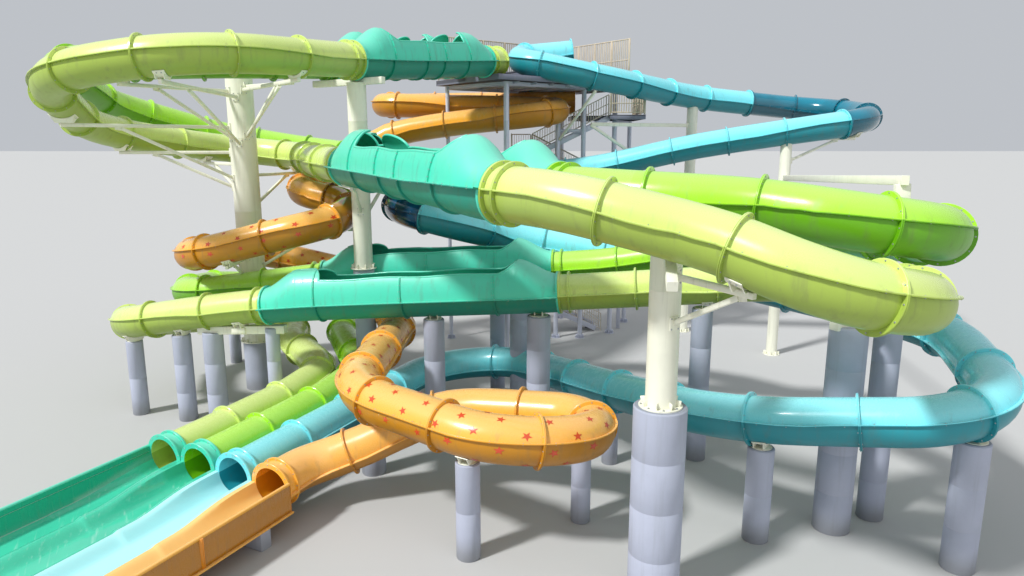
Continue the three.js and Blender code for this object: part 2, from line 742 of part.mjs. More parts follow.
const upperDeck = join([
  slabOnDeck(0, DECK_SIZE[0], 0, DECK_SIZE[1], 13.1003, UPPER_FLOOR),
  slabOnDeck(4.2, 8.35, 1.6, 5.15, 13.2, 14.0),
]);
support("deck_upper", [upperDeck], DECK);
const lowerDeck = join([
  boxAt(4.975, 40.15, LOWER_FLOOR - 0.2197, LOWER_FLOOR, 3.65, 2.5),
  boxAt(5.875, 39.5, LOWER_FLOOR - 0.2197, LOWER_FLOOR, 1.85, 3.8),
]);
support("deck_lower", [lowerDeck.subtract(postRoom)], DECK);

// A railing of posts and rails along a chain of corners, all in one piece.
function railing(corners, z, height) {
  const parts = [];
  for (let i = 0; i + 1 < corners.length; i++) {
    const [x0, y0] = corners[i];
    const [x1, y1] = corners[i + 1];
    const count = Math.max(1, Math.round(Math.hypot(x1 - x0, y1 - y0) / 1.4));
    const turn = Math.atan2(y1 - y0, x1 - x0);
    for (let k = i ? 1 : 0; k <= count; k++) {
      const x = x0 + ((x1 - x0) * k) / count;
      const y = y0 + ((y1 - y0) * k) / count;
      parts.push(boxAt(x, y, z, z + height, 0.08, 0.08, turn));
    }
    for (const up of [0.15, height - 0.04]) {
      parts.push(bar([x0, y0, z + up], [x1, y1, z + up], 0.05, 0.06));
    }
  }
  return parts;
}
const upperRail = railing(
  [onDeck(8.42, 0.1), onDeck(8.42, 5.22), onDeck(0.1, 5.22)],
  UPPER_FLOOR + END_GAP,
  2.2,
);
support("rail_upper", upperRail, RAIL);
const lowerRail = railing([[5.0, 37.65], [6.75, 37.65], [6.75, 41.35]], LOWER_FLOOR + END_GAP, 1.1);
support("rail_lower", [join(lowerRail).subtract(postRoom)], RAIL);

// Stair flights run along X, one drop each, between landings at the two ends.
const FLIGHT_DROP = 1.95;
const FLIGHT_RUN = 3.9;
const FLIGHT_LEFT = 1.05;
const FLIGHT_WIDTH = 1.05;
const FLIGHT_STEPS = 9;
const FLIGHT_NEAR = 37.8;

function flight(yNear, zTop, downLeft) {
  const going = FLIGHT_RUN / FLIGHT_STEPS;
  const rise = FLIGHT_DROP / FLIGHT_STEPS;
  const points = [[-0.05, 0]];
  for (let i = 0; i < FLIGHT_STEPS; i++) {
    points.push([i * going, -i * rise], [i * going, -(i + 1) * rise]);
  }
  points.splice(1, 1);
  points.push([FLIGHT_RUN + 0.05, -FLIGHT_DROP]);
  points.push([FLIGHT_RUN + 0.05, -FLIGHT_DROP - 0.2], [FLIGHT_RUN - 0.2, -FLIGHT_DROP - 0.2]);
  points.push([-0.05, -0.42]);
  const start = FLIGHT_LEFT + (downLeft ? FLIGHT_RUN : 0);
  const way = downLeft ? -1 : 1;
  const outline = points.map(([x, z]) => {
    return new THREE.Vector2((start + way * x) * MM, (zTop + z) * MM);
  });
  if (downLeft) outline.reverse();
  const depth = FLIGHT_WIDTH * MM;
  const options = { depth, steps: 1, bevelEnabled: false };
  const geometry = new THREE.ExtrudeGeometry(new THREE.Shape(outline), options);
  geometry.rotateX(Math.PI / 2);
  geometry.translate(0, (yNear + FLIGHT_WIDTH) * MM, 0);
  return solid(geometry);
}

const stairParts = [];
const FAR_LANE = FLIGHT_NEAR + FLIGHT_WIDTH + 0.05;
for (let k = 0; k < 6; k++) {
  const top = LOWER_FLOOR - k * FLIGHT_DROP;
  stairParts.push(flight(k % 2 ? FAR_LANE : FLIGHT_NEAR, top, k % 2 === 0));
  if (k === 5) break;
  const x = k % 2 ? FLIGHT_LEFT + FLIGHT_RUN + 0.55 : FLIGHT_LEFT - 0.55;
  const z = top - FLIGHT_DROP;
  stairParts.push(boxAt(x, 38.875, z - 0.2, z, 1.14, 2.15));
}
stairParts.push(
  boxAt(-0.05, 38.875, 0, 9.7, 0.14, 2.15 * 0.2),
  boxAt(FLIGHT_LEFT + FLIGHT_RUN + 1.05, 39.6, 0, 7.7, 0.14, 0.4),
);
for (const k of [0, 2, 4]) {
  const z = LOWER_FLOOR - k * FLIGHT_DROP;
  const y = FLIGHT_NEAR + 0.06;
  const right = FLIGHT_LEFT + FLIGHT_RUN;
  stairParts.push(
    bar([FLIGHT_LEFT, y, z - FLIGHT_DROP + 1], [right - 0.3, y, z + 0.85], 0.06, 0.06),
    boxAt(FLIGHT_LEFT + 0.1, y, z - FLIGHT_DROP, z - FLIGHT_DROP + 1.05, 0.06, 0.06),
    boxAt(right - 0.35, y, z - 0.3, z + 0.83, 0.06, 0.06),
  );
}
const belowGround = boxAt(2, 39, -1, 0, 12, 6);
const stairBody = join(stairParts).subtract(lowerDeck).subtract(postRoom).subtract(belowGround);
support("stair", [stairBody], TOWER_STEEL);

// The whole site is moved so that the middle of its footprint on the ground is the origin.
const footprint = new THREE.Box3().setFromObject(group);
const middle = footprint.getCenter(new THREE.Vector3());
group.children.forEach((mesh) => mesh.geometry.translate(-middle.x, -middle.y, -footprint.min.z));

export default group;
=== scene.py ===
"""Looks of a water slide tower: four tube slides with open wave sections, their columns and
piers, a start tower with a stair, and four run-out lanes side by side.

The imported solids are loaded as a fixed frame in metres. Every piece is drawn from the same
routes and sizes as its solid, stands in its place and rides on the one fixed body.
"""

from __future__ import annotations

import logging
import math
from dataclasses import dataclass, field
from enum import Enum
from itertools import pairwise
from typing import Iterable, Optional, Sequence, Union

import bmesh
import bpy
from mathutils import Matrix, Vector

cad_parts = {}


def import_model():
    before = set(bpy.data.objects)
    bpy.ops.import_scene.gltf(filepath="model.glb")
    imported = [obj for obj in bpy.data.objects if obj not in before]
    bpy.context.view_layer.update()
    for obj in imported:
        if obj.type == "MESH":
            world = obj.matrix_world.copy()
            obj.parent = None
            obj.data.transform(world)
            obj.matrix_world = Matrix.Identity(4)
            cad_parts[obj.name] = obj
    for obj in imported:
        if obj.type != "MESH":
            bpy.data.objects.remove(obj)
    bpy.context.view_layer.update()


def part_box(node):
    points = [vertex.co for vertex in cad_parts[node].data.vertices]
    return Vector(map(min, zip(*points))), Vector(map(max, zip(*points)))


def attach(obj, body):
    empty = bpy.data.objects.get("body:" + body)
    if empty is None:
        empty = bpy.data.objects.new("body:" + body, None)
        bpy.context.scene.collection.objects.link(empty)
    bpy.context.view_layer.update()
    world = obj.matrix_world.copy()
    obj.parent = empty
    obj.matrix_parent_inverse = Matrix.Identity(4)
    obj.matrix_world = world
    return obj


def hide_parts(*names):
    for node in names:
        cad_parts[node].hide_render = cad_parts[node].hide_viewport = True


LOG = logging.getLogger("water_slide_tower")
BODY = "root"
UP = Vector((0, 0, 1))

Number = Union[int, float]
Point = Sequence[float]
Colour = tuple[float, float, float]
Profile = list[tuple[float, float]]


class Slide(Enum):
    """The four slides by the colour of their tubes."""

    A = "pale_green"
    B = "lime"
    C = "cyan"
    D = "orange"


A, B, C, D = Slide

# Site plan corners of each slide: x, y, height of the tube axis, bend radius, in metres.
ROUTE_CORNERS: dict[Slide, list[tuple[float, float, float, float]]] = {
    A: [
        (-0.7, 34.9, 14.0, 0), (-5.3, 27.6, 13.25, 8), (-9.0, 21.8, 12.9, 3.4),
        (-14.5, 22.4, 12.3, 3.6), (-16.1, 28.4, 10.8, 5), (-12.6, 33.8, 10.0, 2.2),
        (-9.6, 33.2, 9.75, 2.6), (-7.3, 27.7, 9.6, 6), (0.2, 14.6, 9.2, 6),
        (3.6, 13.4, 8.57, 5), (6.75, 10.9, 7.65, 2.2), (9.6, 17.6, 6.7, 4.0),
        (8.4, 22.0, 6.1, 2.5), (2.0, 23.4, 5.45, 8), (-8.6, 25.2, 4.6, 20),
        (-15.0, 26.4, 3.6, 1.9), (-15.4, 31.6, 2.6, 2.2), (-9.8, 32.0, 2.3, 2.2),
        (-9.2, 29.2, 2.1, 3.0), (-7.2, 26.7, 1.7, 1.8), (-8.1, 24.47, 1.4, 3),
        (-10.35, 20.0, 1.15, 0),
    ],
    B: [
        (-2.4, 35.5, 14.0, 0), (-6.8, 28.6, 13.3, 8), (-10.2, 25.9, 13.1, 3.5),
        (-16.2, 25.7, 12.95, 2.3), (-17.0, 31.6, 11.8, 3.0), (-13.4, 34.9, 10.6, 5),
        (-8.2, 35.6, 9.85, 3.4), (-5.2, 29.3, 9.45, 6), (1.6, 16.9, 9.13, 6),
        (5.2, 15.8, 8.97, 5), (8.6, 13.2, 8.58, 2.2), (10.8, 19.6, 7.7, 4.0),
        (9.6, 24.6, 7.15, 2.5), (3.0, 26.6, 5.8, 8), (-5.6, 28.3, 5.2, 20),
        (-13.6, 28.4, 4.3, 1.9), (-14.0, 33.8, 3.8, 2.2), (-7.6, 34.2, 2.8, 2.2),
        (-7.4, 30.2, 2.2, 3.0), (-5.7, 26.8, 1.7, 2.2), (-6.83, 23.8, 1.4, 4),
        (-9.08, 19.36, 1.15, 0),
    ],
    C: [
        (3.0, 37.6, 14.7, 0), (0.3, 37.5, 14.45, 1.1), (0.5, 35.1, 14.0, 1.1),
        (4.0, 35.3, 13.4, 8), (9.6, 39.3, 12.65, 8), (17.6, 40.6, 12.0, 2.8),
        (17.2, 33.6, 11.3, 2.6), (9.0, 35.4, 10.15, 8), (3.9, 36.6, 9.05, 8),
        (-3.8, 36.8, 8.3, 3.2), (-5.6, 25.6, 7.5, 2.5), (0.4, 29.2, 6.5, 3),
        (5.6, 28.0, 5.75, 8), (12.9, 20.6, 4.85, 2.8), (11.6, 15.0, 4.1, 2.2),
        (5.4, 17.8, 3.2, 6), (0.2, 28.0, 1.75, 2.9), (-3.2, 27.8, 1.5, 2.5),
        (-5.2, 23.9, 1.35, 5), (-7.81, 18.72, 1.15, 0),
    ],
    D: [
        (3.4, 40.4, 12.45, 0), (-7.0, 40.6, 12.3, 1.2), (-6.6, 38.0, 12.2, 1.15),
        (2.4, 38.7, 12.0, 1.1), (2.2, 36.2, 11.75, 1.1), (-6.0, 36.9, 10.7, 4),
        (-9.9, 36.9, 8.75, 2.2), (-9.1, 31.0, 8.2, 1.5), (-6.4, 30.0, 7.8, 1.6),
        (-6.8, 26.4, 7.3, 1.7), (-13.05, 26.8, 6.1, 2.2), (-12.4, 32.2, 5.6, 2.0),
        (-6.0, 31.2, 4.5, 3), (-4.2, 26.0, 3.55, 3), (-4.6, 19.0, 3.5, 3),
        (0.0, 15.8, 3.25, 2.6), (3.9, 18.4, 2.9, 1.4), (-1.6, 20.2, 2.6, 4),
        (-5.865, 19.42, 1.24, 1.5), (-6.54, 18.08, 1.15, 0),
    ],
}
LANE_HEADING = Vector((-0.45, -0.893, 0))
PIER_MARK = (3.25, 14.95)  # site plan place of the large pier, which ties the plan to the frame


class Sock:
    """A node socket that turns Python expressions into Math nodes."""

    def __init__(self, kit: NodeKit, socket: bpy.types.NodeSocket) -> None:
        self.kit, self.socket = kit, socket

    def _math(self, operation: str, first: Value, second: Value) -> Sock:
        """The result of one Math node."""
        return self.kit.node("ShaderNodeMath", {"operation": operation}, {0: first, 1: second})

    def __add__(self, other: Value) -> Sock:
        """Sum."""
        return self._math("ADD", self, other)

    def __sub__(self, other: Value) -> Sock:
        """Difference."""
        return self._math("SUBTRACT", self, other)

    def __rsub__(self, other: Value) -> Sock:
        """Difference from a number."""
        return self._math("SUBTRACT", other, self)

    def __mul__(self, other: Value) -> Sock:
        """Product."""
        return self._math("MULTIPLY", self, other)

    __radd__, __rmul__ = __add__, __mul__

    def step(self, low: Number, high: Number) -> Sock:
        """A smooth step from 0 at low to 1 at high."""
        values = {"Value": self, "From Min": low, "From Max": high}
        return self.kit.node("ShaderNodeMapRange", {"interpolation_type": "SMOOTHSTEP"}, values)


Value = Union[Number, Sequence[float], Sock]


class NodeKit:
    """Makes the nodes of one material."""

    def __init__(self, name: str) -> None:
        """Starts an empty material.

        Args:
            name: The material's name.
        """
        self.material = bpy.data.materials.new(name)
        self.material.use_nodes = True
        self.tree = self.material.node_tree
        self.tree.nodes.clear()

    def node(
        self, kind: str, settings: Optional[dict[str, object]] = None,
        values: Optional[dict[Union[int, str], Value]] = None, out: Union[int, str] = 0,
    ) -> Sock:
        """Adds a node, sets it up and fills its sockets.

        Args:
            kind: The node's type.
            settings: The node's own settings, set first.
            values: Values or links by socket name or number.
            out: The output that is wanted.

        Returns:
            That output, or an input where the node has no outputs.
        """
        made = self.tree.nodes.new(kind)
        for key, value in (settings or {}).items():
            setattr(made, key, value)
        for key, value in (values or {}).items():
            if isinstance(value, Sock):
                self.tree.links.new(value.socket, made.inputs[key])
            else:
                made.inputs[key].default_value = value
        ends = made.outputs if len(made.outputs) else made.inputs
        return Sock(self, ends[out])

    def place(self, upright: float = 1.0) -> Sock:
        """Object coordinates in metres, with the upright one scaled."""
        where = {0: self.node("ShaderNodeTexCoord", out="Object"), 1: (1.0, 1.0, upright)}
        return self.node("ShaderNodeVectorMath", {"operation": "MULTIPLY"}, where)

    def noise(self, scale: float, detail: float = 3.0, upright: float = 1.0, rough: float = 0.55) -> Sock:
        """Noise from 0 to 1, drawn out upwards where upright is small."""
        values = {"Vector": self.place(upright), "Scale": scale, "Detail": detail, "Roughness": rough}
        return self.node("ShaderNodeTexNoise", None, values)

    def facing_up(self) -> Sock:
        """How far the surface faces up: 1 on top, -1 underneath."""
        normal = self.node("ShaderNodeNewGeometry", out="Normal")
        return self.node("ShaderNodeSeparateXYZ", None, {0: normal}, out="Z")

    def batch(self) -> Sock:
        """The moulding batch of a face, from 0 to 1."""
        return self.node("ShaderNodeAttribute", {"attribute_name": "batch"}, out="Fac")

    def mix(self, share: Value, first: Value, second: Colour) -> Sock:
        """Mixes a share of the second colour into the first."""
        base = first if isinstance(first, Sock) else (*first, 1.0)
        return self.node("ShaderNodeMix", {"data_type": "RGBA"}, {0: share, 6: base, 7: (*second, 1.0)}, out=2)

    def bump(self, height: Sock, strength: float, distance: float) -> Sock:
        """The normal over a height from 0 to 1, where 1 stands for a distance in metres."""
        return self.node("ShaderNodeBump", None, {"Strength": strength, "Distance": distance, "Height": height})

    def surface(self, colour: Value, rough: Value, **others: Value) -> None:
        """Ends the material with one Principled shader.

        Args:
            colour: Its base colour.
            rough: Its roughness.
            others: Its other sockets, with _ for a space.
        """
        values = {key.replace("_", " "): value for key, value in others.items()}
        values |= {"Base Color": colour, "Roughness": rough}
        shader = self.node("ShaderNodeBsdfPrincipled", None, values)
        self.node("ShaderNodeOutputMaterial", None, {"Surface": shader})


def linear(*display: int) -> Colour:
    """A display colour from 0 to 255 as linear numbers."""
    parts = [value / 255 for value in display]
    return tuple(c / 12.92 if c <= 0.04045 else ((c + 0.055) / 1.055) ** 2.4 for c in parts)


@dataclass(frozen=True)
class Finish:
    """A plain matt finish with a name and a base colour."""

    name: str
    colour: Colour

    def tint(self, by: float) -> Colour:
        """The colour made lighter or darker, kept within 0 and 1."""
        return tuple(min(1.0, c * by) for c in self.colour)

    def material(self) -> bpy.types.Material:
        """The Blender material, made once."""
        if self.name not in bpy.data.materials:
            self.dress(NodeKit(self.name))
        return bpy.data.materials[self.name]

    def dress(self, kit: NodeKit) -> None:
        """Gives a new material its nodes."""
        kit.surface((*self.colour, 1.0), 0.85)


@dataclass(frozen=True)
class GelCoat(Finish):
    """Glossy glass-fibre gel coat with drip marks, paler and duller patches at random and a faint ripple; faces turned
    upwards carry a painted highlight and faces turned downwards painted shade.
    """

    # Share of the painted highlight mixed into faces turned upwards.
    painted_top_highlight: float = 0.12
    gloss: float = 0.2
    soil: float = 0.3
    coat: float = 0.35
    # Pale colour of the painted highlight on faces turned upwards, also used for random paler patches.
    highlight_and_fade_pale = (1.0, 0.99, 0.93)
    dirt = (0.16, 0.15, 0.1)

    def dress(self, kit: NodeKit) -> None:
        """Builds the gel coat.

        Args:
            kit: The nodes of the new material.
        """
        cloud, fine, up = kit.noise(0.55, 4.0), kit.noise(38.0, 2.0), kit.facing_up()
        drips = kit.noise(5.0, 4.0, 0.12, 0.6).step(0.5, 0.78)
        tone = kit.batch() * 0.16 + cloud * 0.22 - 0.19
        # deep: faces turned downwards darkened towards 0.82 of the colour, painted shade.
        deep = kit.mix(up.step(-0.9, 0.25), self.tint(0.82), self.colour)
        # Painted highlight on faces turned upwards, plus random paler patches.
        top_highlight_and_fade = up.step(0.1, 1.0) * self.painted_top_highlight + tone.step(0.0, 0.3) * 0.14
        dull = kit.mix((0.0 - tone).step(0.0, 0.3) * 0.3, kit.mix(top_highlight_and_fade, deep, self.highlight_and_fade_pale), self.tint(0.7))
        shade = kit.mix(drips * (1.0 - up.step(0.3, 0.95)) * self.soil, dull, self.dirt)
        rough = self.gloss + fine * 0.06 + drips * 0.16 + cloud * 0.08
        normal = kit.bump(fine * 0.25 + kit.noise(3.2, 2.0), 0.3, 0.006)
        kit.surface(shade, rough, Coat_Weight=self.coat, Coat_Roughness=0.12, Normal=normal)


@dataclass(frozen=True)
class ShadedUnderCoat(GelCoat):
    """The duller gel coat of a lower shell, whose darker colour is painted shade."""

    painted_top_highlight: float = 0.0
    gloss: float = 0.34
    coat: float = 0.1


@dataclass(frozen=True)
class WetGelCoat(Finish):
    """Gel coat under a thin running film of water: streaked along the fall and very glossy."""

    foam_white = (0.78, 0.93, 0.9)

    def dress(self, kit: NodeKit) -> None:
        """Builds the wet gel coat.

        Args:
            kit: The nodes of the new material.
        """
        fall = {"Vector": kit.place(), "Angle": math.atan2(LANE_HEADING.x, -LANE_HEADING.y)}
        turned = kit.node("ShaderNodeVectorRotate", {"rotation_type": "Z_AXIS"}, fall)
        along = kit.node("ShaderNodeVectorMath", {"operation": "MULTIPLY"}, {0: turned, 1: (1.0, 0.09, 1.0)})
        streak = kit.node("ShaderNodeTexNoise", None, {"Vector": along, "Scale": 9.0, "Detail": 5.0})
        ripple = kit.node("ShaderNodeTexNoise", None, {"Vector": along, "Scale": 26.0, "Detail": 3.0})
        foam, cloud = streak.step(0.55, 0.8), kit.noise(0.8, 3.0)
        base = kit.mix(cloud.step(0.3, 0.8) * 0.5, self.colour, self.tint(0.72))
        shade = kit.mix(foam * kit.facing_up().step(0.3, 0.95) * 0.28, base, self.foam_white)
        normal = kit.bump(streak * 0.6 + ripple * 0.5, 0.55, 0.012)
        rough = 0.07 + ripple * 0.14 + foam * 0.1
        kit.surface(shade, rough, Coat_Weight=0.7, Coat_Roughness=0.04, Normal=normal)


@dataclass(frozen=True)
class SeeThrough(Finish):
    """Tinted see-through resin shell, darker where it is thick, with a high gloss and a painted highlight that pales
    faces turned upwards.
    """

    clear: float = 0.2

    def dress(self, kit: NodeKit) -> None:
        """Builds the tinted resin.

        Args:
            kit: The nodes of the new material.
        """
        cloud = kit.noise(0.9, 3.0)
        # light: faces turned upwards tinted up to 3.2 times paler, a painted highlight.
        light = kit.mix(kit.facing_up().step(-0.4, 0.9) * 0.45, self.colour, self.tint(3.2))
        shade = kit.mix(cloud.step(0.35, 0.75) * 0.35, light, self.tint(0.6))
        gloss = {"Coat_Weight": 0.6, "Coat_Roughness": 0.05, "Transmission_Weight": self.clear}
        kit.surface(shade, 0.1 + cloud * 0.1, Normal=kit.bump(kit.noise(4.0, 2.0), 0.2, 0.005), **gloss)


@dataclass(frozen=True)
class PaintedSteel(Finish):
    """Painted steel with chalky runs, scuffed dull spots and a little rust at the low edges."""

    rust: float = 0.25
    chalk = (0.336, 0.304, 0.24)
    rust_brown = (0.24, 0.1, 0.04)

    def dress(self, kit: NodeKit) -> None:
        """Builds the painted steel.

        Args:
            kit: The nodes of the new material.
        """
        runs, cloud = kit.noise(7.0, 4.0, 0.07, 0.6), kit.noise(1.4, 4.0)
        spots = kit.noise(16.0, 5.0, 1.0, 0.7).step(0.64, 0.74)
        pale = kit.mix(cloud.step(0.35, 0.75) * 0.3, self.colour, self.tint(0.8))
        dirty = kit.mix(runs.step(0.52, 0.8) * 0.3, pale, self.chalk)
        shade = kit.mix(spots * runs.step(0.45, 0.7) * self.rust, dirty, self.rust_brown)
        normal = kit.bump(kit.noise(60.0, 2.0), 0.12, 0.003)
        rough = 0.38 + cloud * 0.18 + runs * 0.1
        kit.surface(shade, rough, Coat_Weight=0.15, Coat_Roughness=0.25, Normal=normal)


@dataclass(frozen=True)
class BareSteel(Finish):
    """Galvanised steel of bolts."""

    def dress(self, kit: NodeKit) -> None:
        """Builds the galvanised steel."""
        spangle = kit.noise(45.0, 4.0, 1.0, 0.7)
        kit.surface(kit.mix(spangle.step(0.35, 0.7), self.colour, self.tint(0.7)), 0.34 + spangle * 0.2, Metallic=0.75)


@dataclass(frozen=True)
class Concrete(Finish):
    """Painted cast concrete: form marks, pores, rain streaks, a damp dark foot and painted shade on faces turned
    upwards, the heads under the slides.
    """

    streak_grey = (0.306, 0.323, 0.357)
    damp_dark = (0.2, 0.2, 0.18)

    def dress(self, kit: NodeKit) -> None:
        """Builds the painted concrete.

        Args:
            kit: The nodes of the new material.
        """
        cloud, streak = kit.noise(0.9, 5.0), kit.noise(5.5, 5.0, 0.06, 0.65)
        pores = kit.noise(70.0, 3.0).step(0.66, 0.76)
        height = kit.node("ShaderNodeSeparateXYZ", None, {0: kit.place()}, out="Z")
        damp = (1.0 - height.step(0.05, 0.75)) * (0.35 + cloud * 0.4)
        plain = kit.mix(cloud.step(0.3, 0.75) * 0.45, self.colour, self.tint(0.8))
        runs = kit.mix(streak.step(0.5, 0.78) * 0.4, plain, self.streak_grey)
        # Faces turned upwards are darkened: painted shade on the heads under the slides and lanes.
        painted_cap_shade = kit.mix(kit.facing_up().step(0.6, 0.95) * 0.55, runs, self.tint(0.35))
        shade = kit.mix(pores * 0.6, kit.mix(damp, painted_cap_shade, self.damp_dark), self.tint(0.4))
        relief = kit.noise(14.0, 4.0) * 0.5 - pores * 0.8
        kit.surface(shade, 0.68 + cloud * 0.2, Normal=kit.bump(relief, 0.35, 0.006))


@dataclass(frozen=True)
class Timber(Finish):
    """Pale weathered timber slats with long grain."""

    weathered = (0.42, 0.4, 0.36)

    def dress(self, kit: NodeKit) -> None:
        """Builds the timber.

        Args:
            kit: The nodes of the new material.
        """
        grain, cloud = kit.noise(26.0, 5.0, 0.05, 0.65), kit.noise(1.8, 3.0)
        warm = kit.mix(grain.step(0.35, 0.7), self.colour, self.tint(0.62))
        shade = kit.mix(cloud.step(0.4, 0.75) * 0.4 + kit.batch() * 0.3, warm, self.weathered)
        kit.surface(shade, 0.62 + grain * 0.25, Normal=kit.bump(grain, 0.4, 0.003))


@dataclass(frozen=True)
class DeckPlate(Finish):
    """Dark grey deck with a raised grip pattern and pale foot-worn patches."""

    def dress(self, kit: NodeKit) -> None:
        """Builds the deck plate.

        Args:
            kit: The nodes of the new material.
        """
        values = {"Vector": kit.place(), "Scale": 18.0, "Randomness": 0.15}
        studs = kit.node("ShaderNodeTexVoronoi", None, values).step(0.18, 0.3)
        wear = kit.noise(1.1, 4.0)
        shade = kit.mix(wear.step(0.4, 0.75) * 0.5, self.colour, self.tint(1.7))
        kit.surface(shade, 0.55 + wear * 0.3, Normal=kit.bump(1.0 - studs, 0.4, 0.004))


@dataclass
class Shells:
    """Upper and lower finish of a closed tube and the record's slot; a darker lower finish is painted shade."""

    upper: Finish
    lower: Finish
    slot: str

    @classmethod
    def see_through(cls, slot: str, *display: int) -> Shells:
        """Shells of one tinted resin."""
        resin = SeeThrough(slot + "_resin", linear(*display))
        return cls(resin, resin, slot)


# The lower teal is the same gel coat drawn darker: painted shade on the lower halves.
TEAL_UPPER = GelCoat("teal_upper", linear(72, 216, 184), gloss=0.32)
TEAL_SHADED_LOWER = ShadedUnderCoat("teal_lower_painted_shade", linear(18, 148, 124), gloss=0.42, coat=0.05)
STAR_RED = GelCoat("star_red", linear(214, 78, 40), painted_top_highlight=0.0, soil=0.1)
LANE_TEAL = WetGelCoat("lane_teal", linear(72, 208, 172))
LANE_WALL_TEAL = GelCoat("lane_wall_teal", linear(34, 172, 138), painted_top_highlight=0.3, soil=0.15)
LANE_CYAN = WetGelCoat("lane_cyan", linear(92, 206, 224))
LANE_ORANGE = WetGelCoat("lane_orange", linear(246, 158, 48))
LANE_WALL_ORANGE = GelCoat("lane_wall_orange", linear(232, 146, 30), soil=0.2)
# The outside of the orange lane's wall is drawn a darker orange: painted shade.
LANE_SHADED_BACK_ORANGE = GelCoat("lane_back_orange_painted_shade", linear(186, 124, 26), painted_top_highlight=0.0, soil=0.3)
CREAM_STEEL = PaintedSteel("cream_steel", linear(240, 239, 220))
TOWER_STEEL = PaintedSteel("tower_steel", linear(158, 164, 184), rust=0.4)
FASCIA_STEEL = PaintedSteel("fascia_steel", linear(112, 116, 132), rust=0.3)
RAIL_PALE = PaintedSteel("rail_pale", linear(214, 204, 188), rust=0.15)
BOLT_STEEL = BareSteel("bolt_steel", (0.55, 0.56, 0.58))
PALE_CONCRETE = Concrete("pale_concrete", linear(178, 183, 200))
DARK_DECK = DeckPlate("dark_deck", linear(74, 76, 86))
SLAT_TIMBER = Timber("slat_timber", linear(226, 208, 180))
STUDIO_FLOOR = Finish("studio_floor", (0.5, 0.5, 0.49))
# Each slide's lower shell colour is its upper colour drawn darker: painted shade on the lower half of the tube.
SHELLS = {
    slide: Shells(
        GelCoat(slide.value + "_upper", linear(*upper)),
        ShadedUnderCoat(slide.value + "_lower", linear(*lower)),
        slide.value,
    )
    for slide, upper, lower in (
        (A, (209, 229, 122), (166, 190, 78)), (B, (168, 229, 40), (104, 172, 12)),
        (C, (120, 226, 236), (32, 146, 158)), (D, (250, 180, 62), (196, 132, 18)),
    )
}


@dataclass
class Place:
    """A point of a centre line with its leftward, upward and forward directions."""

    at: Vector
    left: Vector
    up: Vector
    forward: Vector

    def point(self, x: float = 0.0, y: float = 0.0, z: float = 0.0) -> Vector:
        """The point x to the left, y up and z forward."""
        return self.at + self.left * x + self.up * y + self.forward * z

    def row(self, profile: Profile, z: float = 0.0, side: int = 1) -> list[Vector]:
        """The points of a cross-section, mirrored where side is -1."""
        return [self.point(x * side, y, z) for x, y in profile]

    def spoke(self, turn: float) -> Vector:
        """The direction at an angle in radians round the line, from the left upwards."""
        return self.left * math.cos(turn) + self.up * math.sin(turn)


@dataclass
class Stretch:
    """A straight or a bend of a route in plan."""

    begin: float
    span: float
    at: Vector
    heading: float
    radius: float = 0.0
    turn: float = 0.0


def thinned(stops: Iterable[float], low: float, high: float, gap: float) -> list[float]:
    """Sorts stops and keeps those that stand apart, with both ends.

    Args:
        stops: The stops.
        low: First end.
        high: Last end.
        gap: Least distance between two of them.

    Returns:
        The stops that are kept.
    """
    kept = [low]
    for stop in sorted(s for s in [*stops, high] if low <= s <= high):
        if stop - kept[-1] > gap:
            kept.append(stop)
    return [*kept[:-1], high]


def ease(x: float) -> float:
    """A smooth step from 0 to 1, kept within them."""
    c = min(1.0, max(0.0, x))
    return c * c * (3 - 2 * c)


